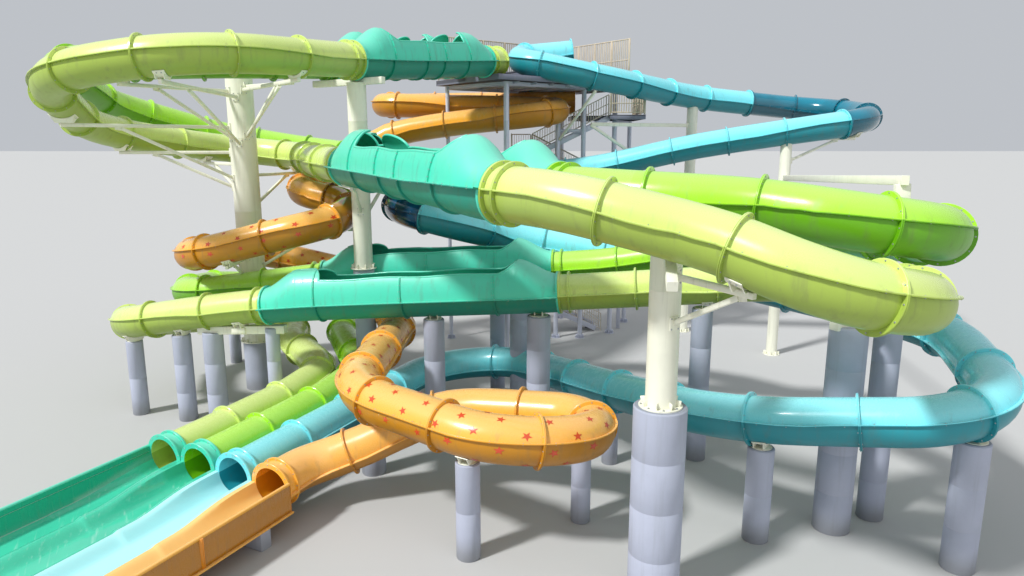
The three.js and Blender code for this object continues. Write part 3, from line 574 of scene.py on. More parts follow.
class Route:
    """A slide's centre line: plan lines with rounded bends and a smooth fall."""

    bank_most = math.radians(16.0)
    bank_gain = 5.5
    bank_reach = 2.2
    bend_step = 6.0
    shortest = 1e-6

    def __init__(self, corners: Sequence[Sequence[float]], shift: Vector) -> None:
        """Lays the route out.

        Args:
            corners: x, y, height and bend radius at each plan corner.
            shift: From the site plan to the frame.
        """
        self.shift, self.length = shift, 0.0
        self.stretches: list[Stretch] = []
        self.marks, self.heights = [0.0], [c[2] for c in corners]
        here = [Vector(c[:2]) for c in corners]
        start = here[0]
        for i in range(1, len(here)):
            inward = (here[i] - here[i - 1]).normalized()
            outward = (here[min(i + 1, len(here) - 1)] - here[i]).normalized()
            radius = corners[i][3]
            turn = math.atan2(inward.x * outward.y - inward.y * outward.x, inward.dot(outward))
            setback = radius * math.tan(abs(turn) / 2)
            bend = here[i] - inward * setback
            line = bend - start
            if line.length > self.shortest:
                self._lay(line.length, start, math.atan2(line.y, line.x))
            self.marks.append(self.length + radius * abs(turn) / 2)
            if setback > self.shortest:
                self._lay(radius * abs(turn), bend, math.atan2(inward.y, inward.x), radius, turn)
            start = here[i] + outward * setback
        self._fall()

    def _lay(self, span: float, *shape: Union[Vector, float]) -> None:
        """Adds a straight or a bend."""
        self.stretches.append(Stretch(self.length, span, *shape))
        self.length += span

    def _fall(self) -> None:
        """Fits the monotone cubic fall through the corners' heights."""
        self.gap = [b - a for a, b in pairwise(self.marks)]
        fall = [(b - a) / gap for (a, b), gap in zip(pairwise(self.heights), self.gap)]
        self.slope = [fall[0]]
        for (g0, g1), (f0, f1) in zip(pairwise(self.gap), pairwise(fall)):
            first, second = 2 * g1 + g0, g1 + 2 * g0
            self.slope.append((first + second) / (first / f0 + second / f1) if f0 * f1 > 0 else 0.0)
        self.slope.append(fall[-1])

    def height(self, s: float) -> float:
        """Axis height at plan length s."""
        i = 0
        while i < len(self.gap) - 1 and s > self.marks[i + 1]:
            i += 1
        t, gap = (s - self.marks[i]) / self.gap[i], self.gap[i]
        low, high = self.heights[i : i + 2]
        first, last = self.slope[i : i + 2]
        rise = (3 - 2 * t) * t * t
        return low + (high - low) * rise + gap * t * (t - 1) * ((t - 1) * first + t * last)

    def turn_rate(self, s: float) -> float:
        """Signed curvature of the plan at length s, positive to the left."""
        here = next((p for p in self.stretches if p.begin <= s < p.begin + p.span), None)
        return math.copysign(1 / here.radius, here.turn) if here and here.radius else 0.0

    def frame(self, s: float) -> Place:
        """The place at plan length s, rolled so that the outer side of a bend is lifted."""
        mean = sum(self.turn_rate(s + self.bank_reach * k / 8) for k in range(-8, 9)) / 17
        roll, level = self.bank_most * math.tanh(self.bank_gain * mean), self.upright(s)
        return Place(level.at, level.spoke(-roll), level.spoke(math.pi / 2 - roll), level.forward)

    def upright(self, s: float) -> Place:
        """The place at plan length s without roll."""
        here = [p for p in self.stretches if s >= p.begin - 1e-9 or p is self.stretches[0]][-1]
        along, side = s - here.begin, math.copysign(1.0, here.turn)
        x, y, heading = here.at.x, here.at.y, here.heading
        if here.radius:
            heading += side * along / here.radius
            x += side * here.radius * (math.sin(heading) - math.sin(here.heading))
            y -= side * here.radius * (math.cos(heading) - math.cos(here.heading))
        else:
            x, y = x + along * math.cos(heading), y + along * math.sin(heading)
        rise = (self.height(s + 0.01) - self.height(s - 0.01)) / 0.02
        forward = Vector((math.cos(heading), math.sin(heading), rise)).normalized()
        left = UP.cross(forward).normalized()
        return Place(Vector((x, y, self.height(s))) + self.shift, left, forward.cross(left), forward)

    def stations(self, first: float, last: float, straight_step: float = 0.9) -> list[float]:
        """Plan lengths from first to last, closer round the bends.

        Args:
            first: First plan length.
            last: Last plan length.
            straight_step: Metres between stations of a straight.

        Returns:
            The stations in order.
        """
        stops = []
        for p in self.stretches:
            share = math.degrees(abs(p.turn)) / self.bend_step if p.radius else p.span / straight_step
            count = max(1, math.ceil(share))
            stops += [p.begin + p.span * k / count for k in range(count + 1)]
        return thinned(stops, first, last, 0.02)


def arc(radius: float, start: float, end: float, count: int, height: Optional[float] = None) -> Profile:
    """Points of an arc in a cross-section.

    Args:
        radius: Radius across.
        start: First angle in degrees, 0 to the left and 90 up.
        end: Last angle in degrees.
        count: Number of spans.
        height: Radius upwards where it differs.

    Returns:
        The points.
    """
    steps = [math.radians(start + (end - start) * k / count) for k in range(count + 1)]
    return [(radius * math.cos(t), (radius if height is None else height) * math.sin(t)) for t in steps]


def circle(count: int, start: float = 0.0) -> list[float]:
    """Angles in radians of points spread round a circle, the first one start steps on."""
    return [2 * math.pi * (k + start) / count for k in range(count)]


@dataclass
class Draft:
    """Points and faces of one piece while it is drawn, with a finish for each face."""

    node: str
    kind: str
    points: list[Point] = field(default_factory=list)
    faces: list[tuple[int, ...]] = field(default_factory=list)
    tones: list[int] = field(default_factory=list)
    batches: list[float] = field(default_factory=list)
    palette: list[Finish] = field(default_factory=list)
    sharp_from = math.radians(38.0)

    def tone(self, finish: Finish) -> int:
        """The slot number of a finish on this piece."""
        if finish not in self.palette:
            self.palette.append(finish)
        return self.palette.index(finish)

    def face(self, corners: Iterable[int], tone: int, batch: float = 0.5) -> None:
        """Adds a face by the numbers of its points.

        Args:
            corners: Those numbers.
            tone: Slot number of its finish.
            batch: Moulding batch from 0 to 1, which shifts the colour a little.
        """
        self.faces.append(tuple(corners))
        self.tones.append(tone)
        self.batches.append(batch)

    def grid(
        self, rows: Sequence[Sequence[Point]], finish: Union[Finish, list[Finish]], wrap: bool = True,
        caps: bool = False, batch: Union[float, list[float]] = 0.5,
    ) -> None:
        """Joins rows of points into quads.

        Args:
            rows: Rows with the same number of points each.
            finish: One finish, or one for each column of quads.
            wrap: Whether the last point of a row joins the first.
            caps: Whether the first and last rows are closed.
            batch: One moulding batch, or one for each band between rows.
        """
        base, width = len(self.points), len(rows[0])
        self.points += [tuple(p) for row in rows for p in row]
        columns = width if wrap else width - 1
        tones = [self.tone(f) for f in finish] if isinstance(finish, list) else [self.tone(finish)] * columns
        shades = batch if isinstance(batch, list) else [batch] * len(rows)
        for i in range(len(rows) - 1):
            here = base + i * width
            for j in range(columns):
                a, b = here + j, here + (j + 1) % width
                self.face((a, b, b + width, a + width), tones[j], shades[i])
        if caps:
            self.face(range(base + width - 1, base - 1, -1), tones[0])
            self.face(range(len(self.points) - width, len(self.points)), tones[0])

    def bar(
        self, start: Point, end: Point, width: float, height: float, finish: Finish, chamfer: float = 0.012
    ) -> None:
        """A straight bar of rectangular section with small chamfers.

        Args:
            start: Middle of one end.
            end: Middle of the other end.
            width: Level side of the section.
            height: Upright side of the section.
            finish: Its finish.
            chamfer: Size of the chamfers.
        """
        a, b = Vector(start), Vector(end)
        along = (b - a).normalized()
        across = along.cross(UP)
        across = Vector((1, 0, 0)) if across.length < 1e-4 else across.normalized()
        lift = across.cross(along).normalized()
        w, h = width / 2, height / 2
        c = min(chamfer, w * 0.45, h * 0.45)
        corners = (
            (w, -h + c), (w, h - c), (w - c, h), (-w + c, h),
            (-w, h - c), (-w, -h + c), (-w + c, -h), (w - c, -h),
        )
        section = [across * x + lift * y for x, y in corners]
        small = [across * x * (1 - c / w * 0.6) + lift * y * (1 - c / h * 0.6) for x, y in corners]
        ends = ((a, small), (a + along * c, section), (b - along * c, section), (b, small))
        self.grid([[at + p for p in ring] for at, ring in ends], finish, True, True)

    def post(self, foot: Vector, tall: float, width: float, depth: float, *finish: Union[Finish, float]) -> None:
        """An upright bar from its foot, with its two widths, finish and chamfer."""
        self.bar(foot, foot + UP * tall, width, depth, *finish)

    def lathe(self, spot: Vector, profile: Profile, finish: Finish, sides: int = 40) -> None:
        """An upright turned piece, closed at both ends.

        Args:
            spot: Place of its axis.
            profile: Radius and height from the foot up.
            finish: Its finish.
            sides: Number of sides.
        """
        turns = [(math.cos(t), math.sin(t)) for t in circle(sides)]
        self.grid([[(spot[0] + r * x, spot[1] + r * y, z) for x, y in turns] for r, z in profile], finish, True, True)

    def bead(self, line: Sequence[Vector], radius: float, finish: Finish, sides: int = 10) -> None:
        """A round bar along a chain of points.

        Args:
            line: The points.
            radius: Its radius.
            finish: Its finish.
            sides: Number of sides.
        """
        rows = []
        for before, p, after in zip([line[0], *line], line, [*line[1:], line[-1]]):
            along = (after - before).normalized()
            across = along.cross(UP)
            if across.length < 0.05:
                across = along.cross(Vector((1, 0, 0)))
            across.normalize()
            place = Place(p, across, across.cross(along).normalized(), along)
            rows.append([p + place.spoke(t) * radius for t in circle(sides)])
        self.grid(rows, finish, True, True)

    def bolt(self, at: Vector, axis: Vector, radius: float = 0.014, height: float = 0.013) -> None:
        """A hexagon bolt head on a washer.

        Args:
            at: Middle of its seat.
            axis: Direction out of the seat.
            radius: Across-corner radius.
            height: Height of the head.
        """
        across = axis.orthogonal().normalized()
        seat = Place(at, across, axis.cross(across), axis)
        steps = ((1.35, 0.0), (1.35, 0.2), (1.0, 0.22), (0.94, 1.0))
        rows = [[at + seat.spoke(t) * radius * r + axis * height * z for t in circle(6)] for r, z in steps]
        self.grid(rows, BOLT_STEEL)
        self.face(range(len(self.points) - 6, len(self.points)), self.tone(BOLT_STEEL))

    def bolt_pair(self, at: Vector, axis: Vector, apart: float, *size: float) -> None:
        """Two bolt heads back to back, each apart from the middle, of one size."""
        for way in (axis, -axis):
            self.bolt(at + way * apart, way, *size)

    def build(self, slot: str) -> None:
        """Makes the object, rides it on the body and states what it stands for.

        Args:
            slot: The record's material slot; not used.
        """
        name = f"{self.node}_{self.kind}"
        mesh = bpy.data.meshes.new(name)
        mesh.from_pydata(self.points, [], self.faces)
        for finish in self.palette:
            mesh.materials.append(finish.material())
        mesh.polygons.foreach_set("material_index", self.tones)
        mesh.attributes.new("batch", "FLOAT", "FACE").data.foreach_set("value", self.batches)
        work = bmesh.new()
        work.from_mesh(mesh)
        bmesh.ops.recalc_face_normals(work, faces=work.faces)
        work.to_mesh(mesh)
        work.free()
        mesh.shade_smooth()
        mesh.set_sharp_from_angle(angle=self.sharp_from)
        mesh.update()
        made = bpy.data.objects.new(name, mesh)
        bpy.context.scene.collection.objects.link(made)
        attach(made, BODY)
        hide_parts(self.node)
        LOG.info("%s: %d faces for %s", name, len(self.faces), self.node)


@dataclass
class TubeRun:
    """A closed tube of bolted half shells with flange rings."""

    node: str
    route: Route
    start: float
    end: float
    shells: Shells
    sleeves: list[float]
    stars: bool = False
    mouth: Optional[Finish] = None
    radius: float = 0.6
    wall: float = 0.05
    lip: float = 0.085
    lip_thickness: float = 0.02
    ring_height: float = 0.1
    ring_width: float = 0.06
    ring_spacing: float = 2.45
    bolt_spacing: float = 0.62
    sides: int = 36
    sleeve = 0.34
    star_rows = (14, 50, 88, 126, 164, 200, 245, 295, 338)
    star_size = 0.115

    def spread(self, count: int, shift: float = 0.0) -> list[float]:
        """Plan lengths at even steps along the run, the first one shift steps on."""
        return [self.start + (self.end - self.start) * (k + shift) / count for k in range(count)]

    def ring_places(self) -> list[float]:
        """Plan lengths of the flange rings, both ends included."""
        even = self.spread(max(1, round((self.end - self.start) / self.ring_spacing))) + [self.end]
        return sorted(even + [s for s in self.sleeves if all(abs(s - e) > 0.2 for e in even)])

    def outline(self) -> list[Profile]:
        """Upper and lower half of the outer profile, each with its share of the mid-height lips."""
        near = math.degrees(math.asin(self.lip_thickness / self.radius))
        out, t, half = self.radius + self.lip, self.lip_thickness, self.sides // 2
        return [
            [
                (way * out, 0.0),
                (way * out, way * t),
                *arc(self.radius, turn + near, turn + 180 - near, half),
                (-way * out, way * t),
            ]
            for way, turn in ((1, 0), (-1, 180))
        ]

    def add_ring(self, draft: Draft, s: float, inner: float, finish: Optional[Finish] = None) -> None:
        """Adds a pair of bolted flange rings.

        Args:
            draft: The piece.
            s: Plan length of their seam.
            inner: Inner radius.
            finish: Their finish where it isn't that of the shells.
        """
        w, r, h = self.ring_width / 2, self.radius, self.radius + self.ring_height
        section = (
            (-w, inner), (-w, h - 0.008), (-w + 0.008, h), (-0.005, h), (0.0, h - 0.014),
            (0.005, h), (w - 0.008, h), (w, h - 0.008), (w, inner),
        )
        place = self.route.frame(s)
        shift = w if s <= self.start + 1e-6 else -w if s >= self.end - 1e-6 else 0.0
        place.at = place.point(z=shift)
        rows = [[place.point(z=z) + place.spoke(t) * reach for z, reach in section] for t in circle(self.sides)]
        half = self.sides // 2
        # The lower half of each ring takes the darker lower finish: painted shade.
        draft.grid(rows[: half + 1], finish or self.shells.upper, False, batch=0.35)
        draft.grid(rows[half:] + rows[:1], finish or self.shells.lower, False, batch=0.35)
        for t in circle(12, 0.5):
            draft.bolt_pair(place.at + place.spoke(t) * (r + self.ring_height / 2), place.forward, w, 0.015, 0.014)

    def add_sleeve(self, draft: Draft, finish: Finish) -> None:
        """Adds the coloured sleeve between the last two flange rings."""
        out, deep = self.radius + self.lip + 0.01, 0.032
        lip = [(self.radius, -deep), (out, -deep), (out, deep), (self.radius, deep)]
        places = [self.route.frame(self.end - self.sleeve + self.sleeve * k / 4) for k in range(5)]
        draft.grid([p.row(arc(self.radius + 0.022, 0, 360, self.sides)[:-1]) for p in places], finish)
        for side in (1, -1):
            draft.grid([p.row(lip, side=side) for p in places], finish)

    def add_lip_bolts(self, draft: Draft) -> None:
        """Adds the bolts along both mid-height lips."""
        for s in self.spread(max(1, int((self.end - self.start) / self.bolt_spacing)), 0.5):
            place = self.route.frame(s)
            for side in (1, -1):
                edge = place.point(side * (self.radius + self.lip * 0.55))
                draft.bolt_pair(edge, place.up, self.lip_thickness)

    def add_stars(self, draft: Draft) -> None:
        """Adds five-pointed stars laid on the shells in staggered rows."""
        columns = max(1, int((self.end - self.start) / 0.5))
        for k, s in enumerate(self.spread(columns, 0.5)):
            for row, turn in enumerate(self.star_rows):
                if (k + row) % 2 == 0:
                    jog = ((k * 37 + row * 53) % 17) / 17 - 0.5
                    along = s + (self.end - self.start) * 0.35 * jog / columns
                    self._star(draft, along, math.radians(turn + 10 * jog), ((k * 29 + row * 41) % 23) / 23)

    def _star(self, draft: Draft, s: float, turn: float, spin: float) -> None:
        """Lays one star on the tube.

        Args:
            draft: The piece.
            s: Plan length of its middle.
            turn: Its place round the tube, in radians.
            spin: Its own turn, as a share of a full one.
        """
        radius, rows = self.radius + 0.004, []
        for share in (1.0, 0.5, 0.0):
            row = []
            for k, a in enumerate(circle(10, spin * 10)):
                reach = self.star_size * (0.42 if k % 2 else 1.0) * share
                place = self.route.frame(s + reach * math.cos(a))
                row.append(place.at + place.spoke(turn + reach * math.sin(a) / radius) * radius)
            rows.append(row)
        draft.grid(rows, STAR_RED)

    def build(self) -> None:
        """Draws the whole run."""
        draft, rings = Draft(self.node, "shells"), self.ring_places()
        upper, lower = self.shells.upper, self.shells.lower
        stations = self.route.stations(self.start, self.end)
        places = [self.route.frame(s) for s in stations]
        bands = [sum(r < (a + b) / 2 for r in rings) for a, b in pairwise(stations)]
        shades = [((band * 7919 + len(self.node) * 31) % 13) / 12 for band in bands]
        top, low = self.outline()
        # The lower half takes the darker lower finish: painted shade.
        draft.grid([p.row(top + low) for p in places], [upper] * len(top) + [lower] * len(low), batch=shades)
        inside, half = arc(self.radius - self.wall, 360, 0, self.sides)[:-1], self.sides // 2
        draft.grid([p.row(inside) for p in places], [lower] * half + [upper] * half)
        for s in rings:
            depth = self.wall if s in (rings[0], rings[-1]) else 0.01
            self.add_ring(draft, s, self.radius - depth, self.mouth if s > self.end - 0.4 else None)
        if self.mouth:
            self.add_sleeve(draft, self.mouth)
        self.add_lip_bolts(draft)
        if self.stars:
            self.add_stars(draft)
        draft.build(self.shells.slot)


@dataclass
class WaveRun:
    """An open wave section: a ribbed trough with a dome at one end and a lobed hood at the other."""

    node: str
    route: Route
    start: float
    end: float
    dome_first: bool
    far_side: int
    ribs: tuple[float, ...]
    rim_height: float
    near_cut: float
    far_cut: float
    lobes: tuple[tuple[float, float, float], ...]
    end_radius: float = 0.64
    side_radius: float = 0.765
    dome_height: float = 1.2
    trough_radius: float = 0.655
    wall: float = 0.045
    lip_out: float = 0.84
    lip_thickness: float = 0.02
    columns: int = 13
    dome_reach: float = 1.3
    dome_sweep: float = 0.7
    hood_fall: float = 0.3
    rib_section = (
        (-0.028, 0.0), (-0.028, 0.056), (-0.005, 0.06), (0.0, 0.048),
        (0.005, 0.06), (0.028, 0.056), (0.028, 0.0),
    )
    end_section = ((0.0, 0.55), (0.0, 0.7), (0.012, 0.712), (0.06, 0.712), (0.06, 0.6))

    def frame(self, t: float) -> Place:
        """The place at distance t from the dome's end."""
        return self.route.frame(self.start + t if self.dome_first else self.end - t)

    def shape(self, t: float) -> tuple[float, float]:
        """Width and height of the upper half at distance t from the dome's end."""
        back, base = self.end - self.start - t, self.end_radius
        swell, dome = min(ease(t / 0.9), ease(back / 0.7)), min(ease(t / 1.35), ease(back / 1.4))
        return base + (self.side_radius - base) * swell, base + (self.dome_height - base) * dome

    def angle(self, t: float, far: bool) -> float:
        """Elevation in degrees where the section is cut at distance t.

        Args:
            t: Distance from the dome's end.
            far: Whether the lobed side is meant.

        Returns:
            The elevation, 90 where the section is closed.
        """
        _, tall = self.shape(t)
        low, back = self.rim_height + 0.02 * math.sin(t * 2.4), self.end - self.start - t
        open_by = min(1.0, max(0.0, (t - self.dome_reach) / self.dome_sweep))
        cut = min(1.0, max(0.0, (back - (self.far_cut if far else self.near_cut)) / self.hood_fall))
        rises = [low + (tall - low) * (1 - open_by) ** 1.6, low + (tall - low) * math.sqrt(1 - cut * cut)]
        for middle, half, top in self.lobes if far else ():
            lobe = min(1.0, abs(back - middle) / half)
            rises.append(low + (tall * top - low) * math.sqrt(1 - lobe * lobe))
        return math.degrees(math.asin(min(1.0, max(rises) / tall)))

    def marks(self) -> list[float]:
        """Distances from the dome's end, dense where the cut edge climbs."""
        length = self.end - self.start
        origin = self.start if self.dome_first else self.end
        stops = [abs(s - origin) for s in self.route.stations(self.start, self.end, 0.35)]
        stops += [0.05 * k for k in range(28)] + [length - 0.05 * k for k in range(60)]
        stops += [self.dome_reach + self.dome_sweep * k / 16 for k in range(17)]
        swing = [math.sin(math.pi * k / 28) for k in range(15)]
        for middle, half, _ in self.lobes:
            stops += [length - middle + half * x * side for x in swing for side in (-1, 1)]
        for edge in (self.near_cut, self.far_cut):
            stops += [length - edge - self.hood_fall * x for x in swing]
        return thinned(stops, 0.0, length, 0.006)

    def section(self, t: float, side: int, thick: float) -> list[Vector]:
        """Points of one wall from the lip to the cut edge.

        Args:
            t: Distance from the dome's end.
            side: 1 for the left of travel, -1 for the right.
            thick: Depth under the outer face.

        Returns:
            The points.
        """
        wide, tall = self.shape(t)
        cut = self.angle(t, side == self.far_side)
        return self.frame(t).row(arc(wide - thick, 0, cut, self.columns, tall - thick), side=side)

    def build(self) -> None:
        """Draws the whole section."""
        draft, marks = Draft(self.node, "shells"), self.marks()
        for side in (1, -1):
            for thick, batch in ((0.0, 0.6), (self.wall, 0.3)):
                draft.grid([self.section(t, side, thick) for t in marks], TEAL_UPPER, False, batch=batch)
            self._add_rim(draft, marks, side)
        self._add_bottom(draft, [*marks[::3], marks[-1]])
        self._add_ribs(draft)
        self._add_faces(draft)
        draft.build("teal")

    def _add_rim(self, draft: Draft, marks: list[float], side: int) -> None:
        """Adds the rolled lip along one wall's cut edge.

        Args:
            draft: The piece.
            marks: Distances from the dome's end.
            side: 1 for the left of travel, -1 for the right.
        """
        line: list[Vector] = []
        for t in marks:
            cut = self.angle(t, side == self.far_side)
            if min(cut, self.angle(t, side != self.far_side)) > 89.5:
                continue
            wide, tall = self.shape(t)
            a, mid = math.radians(cut), self.wall / 2
            spot = self.frame(t).point(side * (wide - mid) * math.cos(a), (tall - mid) * math.sin(a))
            if not line or (spot - line[-1]).length > 0.012:
                line.append(spot)
        if len(line) > 2:
            draft.bead(line, 0.04, TEAL_UPPER)

    def _add_bottom(self, draft: Draft, marks: list[float]) -> None:
        """Adds the half-round bottom and the bolted mid-height lip.

        Args:
            draft: The piece.
            marks: Distances from the dome's end.
        """
        inner, out, t = self.trough_radius - self.wall, self.lip_out, self.lip_thickness
        places = [(self.frame(mark), self.shape(mark)[0] - 0.01) for mark in marks]
        # The outer bottom takes the darker lower teal: painted shade.
        for radius, finish, batch in ((self.trough_radius, TEAL_SHADED_LOWER, 0.4), (inner, TEAL_UPPER, 0.2)):
            draft.grid([p.row(arc(radius, 180, 360, 26)) for p, _ in places], finish, False, batch=batch)
        for side in (1, -1):
            lips, ledges = [], []
            for place, wide in places:
                edge = max(wide, inner)
                lips.append(place.row([(edge, -t), (out, -t), (out, 0.0), (out, t), (edge, t)], side=side))
                ledges.append(place.row([(inner, -t), (max(wide, 0.62), -t)], side=side))
            draft.grid(lips, [TEAL_SHADED_LOWER] * 2 + [TEAL_UPPER] * 2, False, True)
            draft.grid(ledges, TEAL_SHADED_LOWER, False)
        length = self.end - self.start
        count = max(1, int(length / 0.45))
        for k in range(count):
            place = self.route.frame(self.start + length * (k + 0.5) / count)
            for side in (1, -1):
                draft.bolt_pair(place.point(side * (out - 0.032)), place.up, t)

    def _add_ribs(self, draft: Draft) -> None:
        """Adds the bolted flange pairs round the trough and up its walls."""
        bottom = arc(self.trough_radius, 180, 360, 26)
        for t in self.ribs:
            (wide, tall), place, radius = self.shape(t), self.frame(t), self.trough_radius
            hoops = [place.row(stretched(bottom, up / radius, up / radius), z) for z, up in self.rib_section]
            draft.grid(hoops, TEAL_SHADED_LOWER, False)
            for side in (1, -1):
                wall = arc(wide, 1, self.angle(t, side == self.far_side) - 1.5, 12, tall)
                rows = [
                    place.row(stretched(wall, (up * 0.85 - 0.004) / wide, up * 0.5 / tall), z, side)
                    for z, up in self.rib_section
                ]
                draft.grid(rows, TEAL_UPPER, False)
                for x, y in wall[2::3]:
                    draft.bolt_pair(place.point(side * x * (1 + 0.035 / wide), y), place.forward, 0.028, 0.013, 0.012)

    def _add_faces(self, draft: Draft) -> None:
        """Adds the flange plate where each end meets its tube."""
        for s, way in ((self.start, 1), (self.end, -1)):
            place = self.route.frame(s)
            draft.grid([place.row(arc(r, 0, 360, 36)[:-1], way * z) for z, r in self.end_section], TEAL_UPPER)
            for t in circle(14, 0.5):
                draft.bolt(place.point(z=0.06 * way) + place.spoke(t) * 0.684, place.forward * way)


def stretched(profile: Profile, wider: float, taller: float) -> Profile:
    """A profile grown by a share across and a share upwards."""
    return [(x * (1 + wider), y * (1 + taller)) for x, y in profile]


@dataclass
class Lane:
    """One run-out lane: a half-round mouth that flattens into a wide wet floor between ridges."""

    node: str
    route: Route
    finish: Finish
    wall_finish: Finish
    slot: str
    left_wall: float = 0.0
    right_wall: float = 0.0
    lip_finish: Optional[Finish] = None
    outside: Optional[Finish] = None
    edge: float = 0.708
    length: float = 10.6
    floor_top: float = 0.64
    floor_end: float = 0.42
    under: float = 0.07
    mouth_radius: float = 0.56
    mouth_height: float = 0.53
    ridge: float = 0.26
    roll: float = 0.055
    marks = (
        0.0, 0.1, 0.22, 0.36, 0.5, 0.66, 0.82, 1.0, 1.2, 1.4, 1.65, 1.9, 2.2, 2.5, 2.8, 2.98, 3.04, 3.1, 3.16, 3.3,
        *(3.3 + 7.3 * k / 12 for k in range(1, 13)),
    )

    def __post_init__(self) -> None:
        """Finds the mouth and the directions of the lane."""
        self.mouth = self.route.frame(self.route.length).at
        self.heading = LANE_HEADING.normalized()
        self.side = UP.cross(self.heading)

    def ground(self, t: float, x: float = 0.0, up: float = 0.0) -> Vector:
        """The point x to the left and up over the floor at distance t from the mouth."""
        floor = self.floor_top + (self.floor_end - self.floor_top) * t / self.length
        return Vector((self.mouth.x, self.mouth.y, floor + up)) + self.heading * t + self.side * x

    def half(self, t: float, wall: float) -> Profile:
        """Half of the section from the middle of the floor outwards.

        Args:
            t: Distance from the mouth.
            wall: Height of an outer wall, or 0 for a ridge shared with the next lane.

        Returns:
            Points by distance from the middle and height.
        """
        edge, mouth, high = self.edge, self.mouth_radius, self.mouth_height
        open_by = ease(t / 2.6)
        step = 0.035 * ease((3.15 - t) / 0.12)
        crest = 0.14 if wall else high * (1 - open_by) + self.ridge * open_by + step
        points: Profile = []
        for k in range(23):
            x = edge * k / 22
            dip = min(high, mouth - math.sqrt(max(0.0, mouth**2 - x**2))) if x < 0.55 else high
            points.append((x, dip * (1 - open_by) + crest * ease((x - (edge - 0.43 - step)) / 0.42) * open_by))
        if not wall:
            return points
        inner, roll = edge - 2 * self.roll, self.roll
        tall = wall + max(0.0, 0.55 - wall) * (1 - open_by)
        kept = [(x, y) for x, y in points if x < inner - 0.02]
        low = kept[-1][1]
        kept += [(inner - 0.014 + 0.014 * k / 5, low + (tall - roll - low) * k / 5) for k in range(1, 6)]
        kept += [(edge - roll + x, tall - roll + y) for x, y in arc(roll, 180, 0, 6)]
        foot = ((0.012, tall - roll - 0.02), (0.012, tall * 0.5), (0.004, tall * 0.5 - 0.03), (0.004, -0.03))
        return kept + [(edge - x, y) for x, y in foot]

    def build(self) -> None:
        """Draws the lane."""
        draft = Draft(self.node, "trough")
        for way, wall in ((1, self.left_wall), (-1, self.right_wall)):
            rows = [[self.ground(t, way * x, y) for x, y in self.half(t, wall)] for t in self.marks]
            columns = len(rows[0]) - 1
            floor = sum(x < self.edge - 0.2 for x, _ in self.half(5.0, wall)) if wall else columns
            spans = [self.finish] * floor + [self.wall_finish] * (columns - floor)
            if wall and self.lip_finish:
                spans[-10:] = [self.lip_finish] * 7 + [self.outside] * 3
            draft.grid(rows, spans, False)
            feet = [self.ground(t, up=-self.under).z for t in self.marks]
            drop = [[row[-1], Vector((*row[-1].xy, z))] for row, z in zip(rows, feet)]
            draft.grid(drop, (self.outside if wall else None) or self.wall_finish, False)
            for k in (0, -1):
                low = self.ground(self.marks[k], up=-self.under).z
                draft.grid([rows[k], [(p.x, p.y, low) for p in rows[k]]], self.wall_finish, False)
            if wall:
                self._add_outside(draft, way, wall)
        under = [[self.ground(t, self.edge * k, -self.under) for k in (1, 0.33, -0.33, -1)] for t in self.marks]
        draft.grid(under, self.wall_finish, False)
        draft.build(self.slot)

    def _add_outside(self, draft: Draft, way: int, wall: float) -> None:
        """Adds the joint flanges, the bead and the foot lip of an outer wall.

        Args:
            draft: The piece.
            way: 1 for the left of the fall, -1 for the right.
            wall: Its height.
        """
        edge = self.edge + 0.002
        for t in (2.9, 5.5, 8.1):
            for shift in (-0.018, 0.018):
                foot = self.ground(t, way * (edge - 0.03), -0.06) + self.heading * shift
                draft.post(foot, wall + 0.02, 0.16, 0.022, self.wall_finish, 0.005)
        for up, out, width, thick, finish in (
            (wall * 0.74, -0.118, 0.03, 0.02, self.wall_finish), (-0.04, 0.04, 0.09, 0.05, self.lip_finish),
        ):
            a, b = self.ground(0, way * (edge + out), up), self.ground(self.length, way * (edge + out), up)
            draft.bar(a, b - self.heading * 0.01, width, thick, finish, 0.008)


@dataclass
class Site:
    """Where the routes and the site plan lie in the frame."""

    shift: Vector
    routes: dict[Slide, Route]
    step = 0.15
    reach = 0.8
    window = (-0.2, 1.35)

    def at(self, x: float, y: float, z: float = 0.0) -> Vector:
        """A site plan point in the frame."""
        return Vector((x, y, z)) + self.shift

    def carried(self, x: float, y: float, top: float) -> list[tuple[Route, float]]:
        """The slides that run over a support.

        Args:
            x: Site plan place.
            y: Site plan place.
            top: Height of the support.

        Returns:
            Each route with the plan length nearest to the support.
        """
        spot, found, (low, high) = self.at(x, y), [], self.window
        for route in self.routes.values():
            stops = [k * self.step for k in range(int(route.length / self.step))]
            places = [(s, route.upright(s).at) for s in stops]
            near = [((at - spot).xy.length, s) for s, at in places if low < at.z - top < high]
            away, s = min(near, default=(self.reach, 0.0))
            if away < self.reach:
                found.append((route, s))
        return found


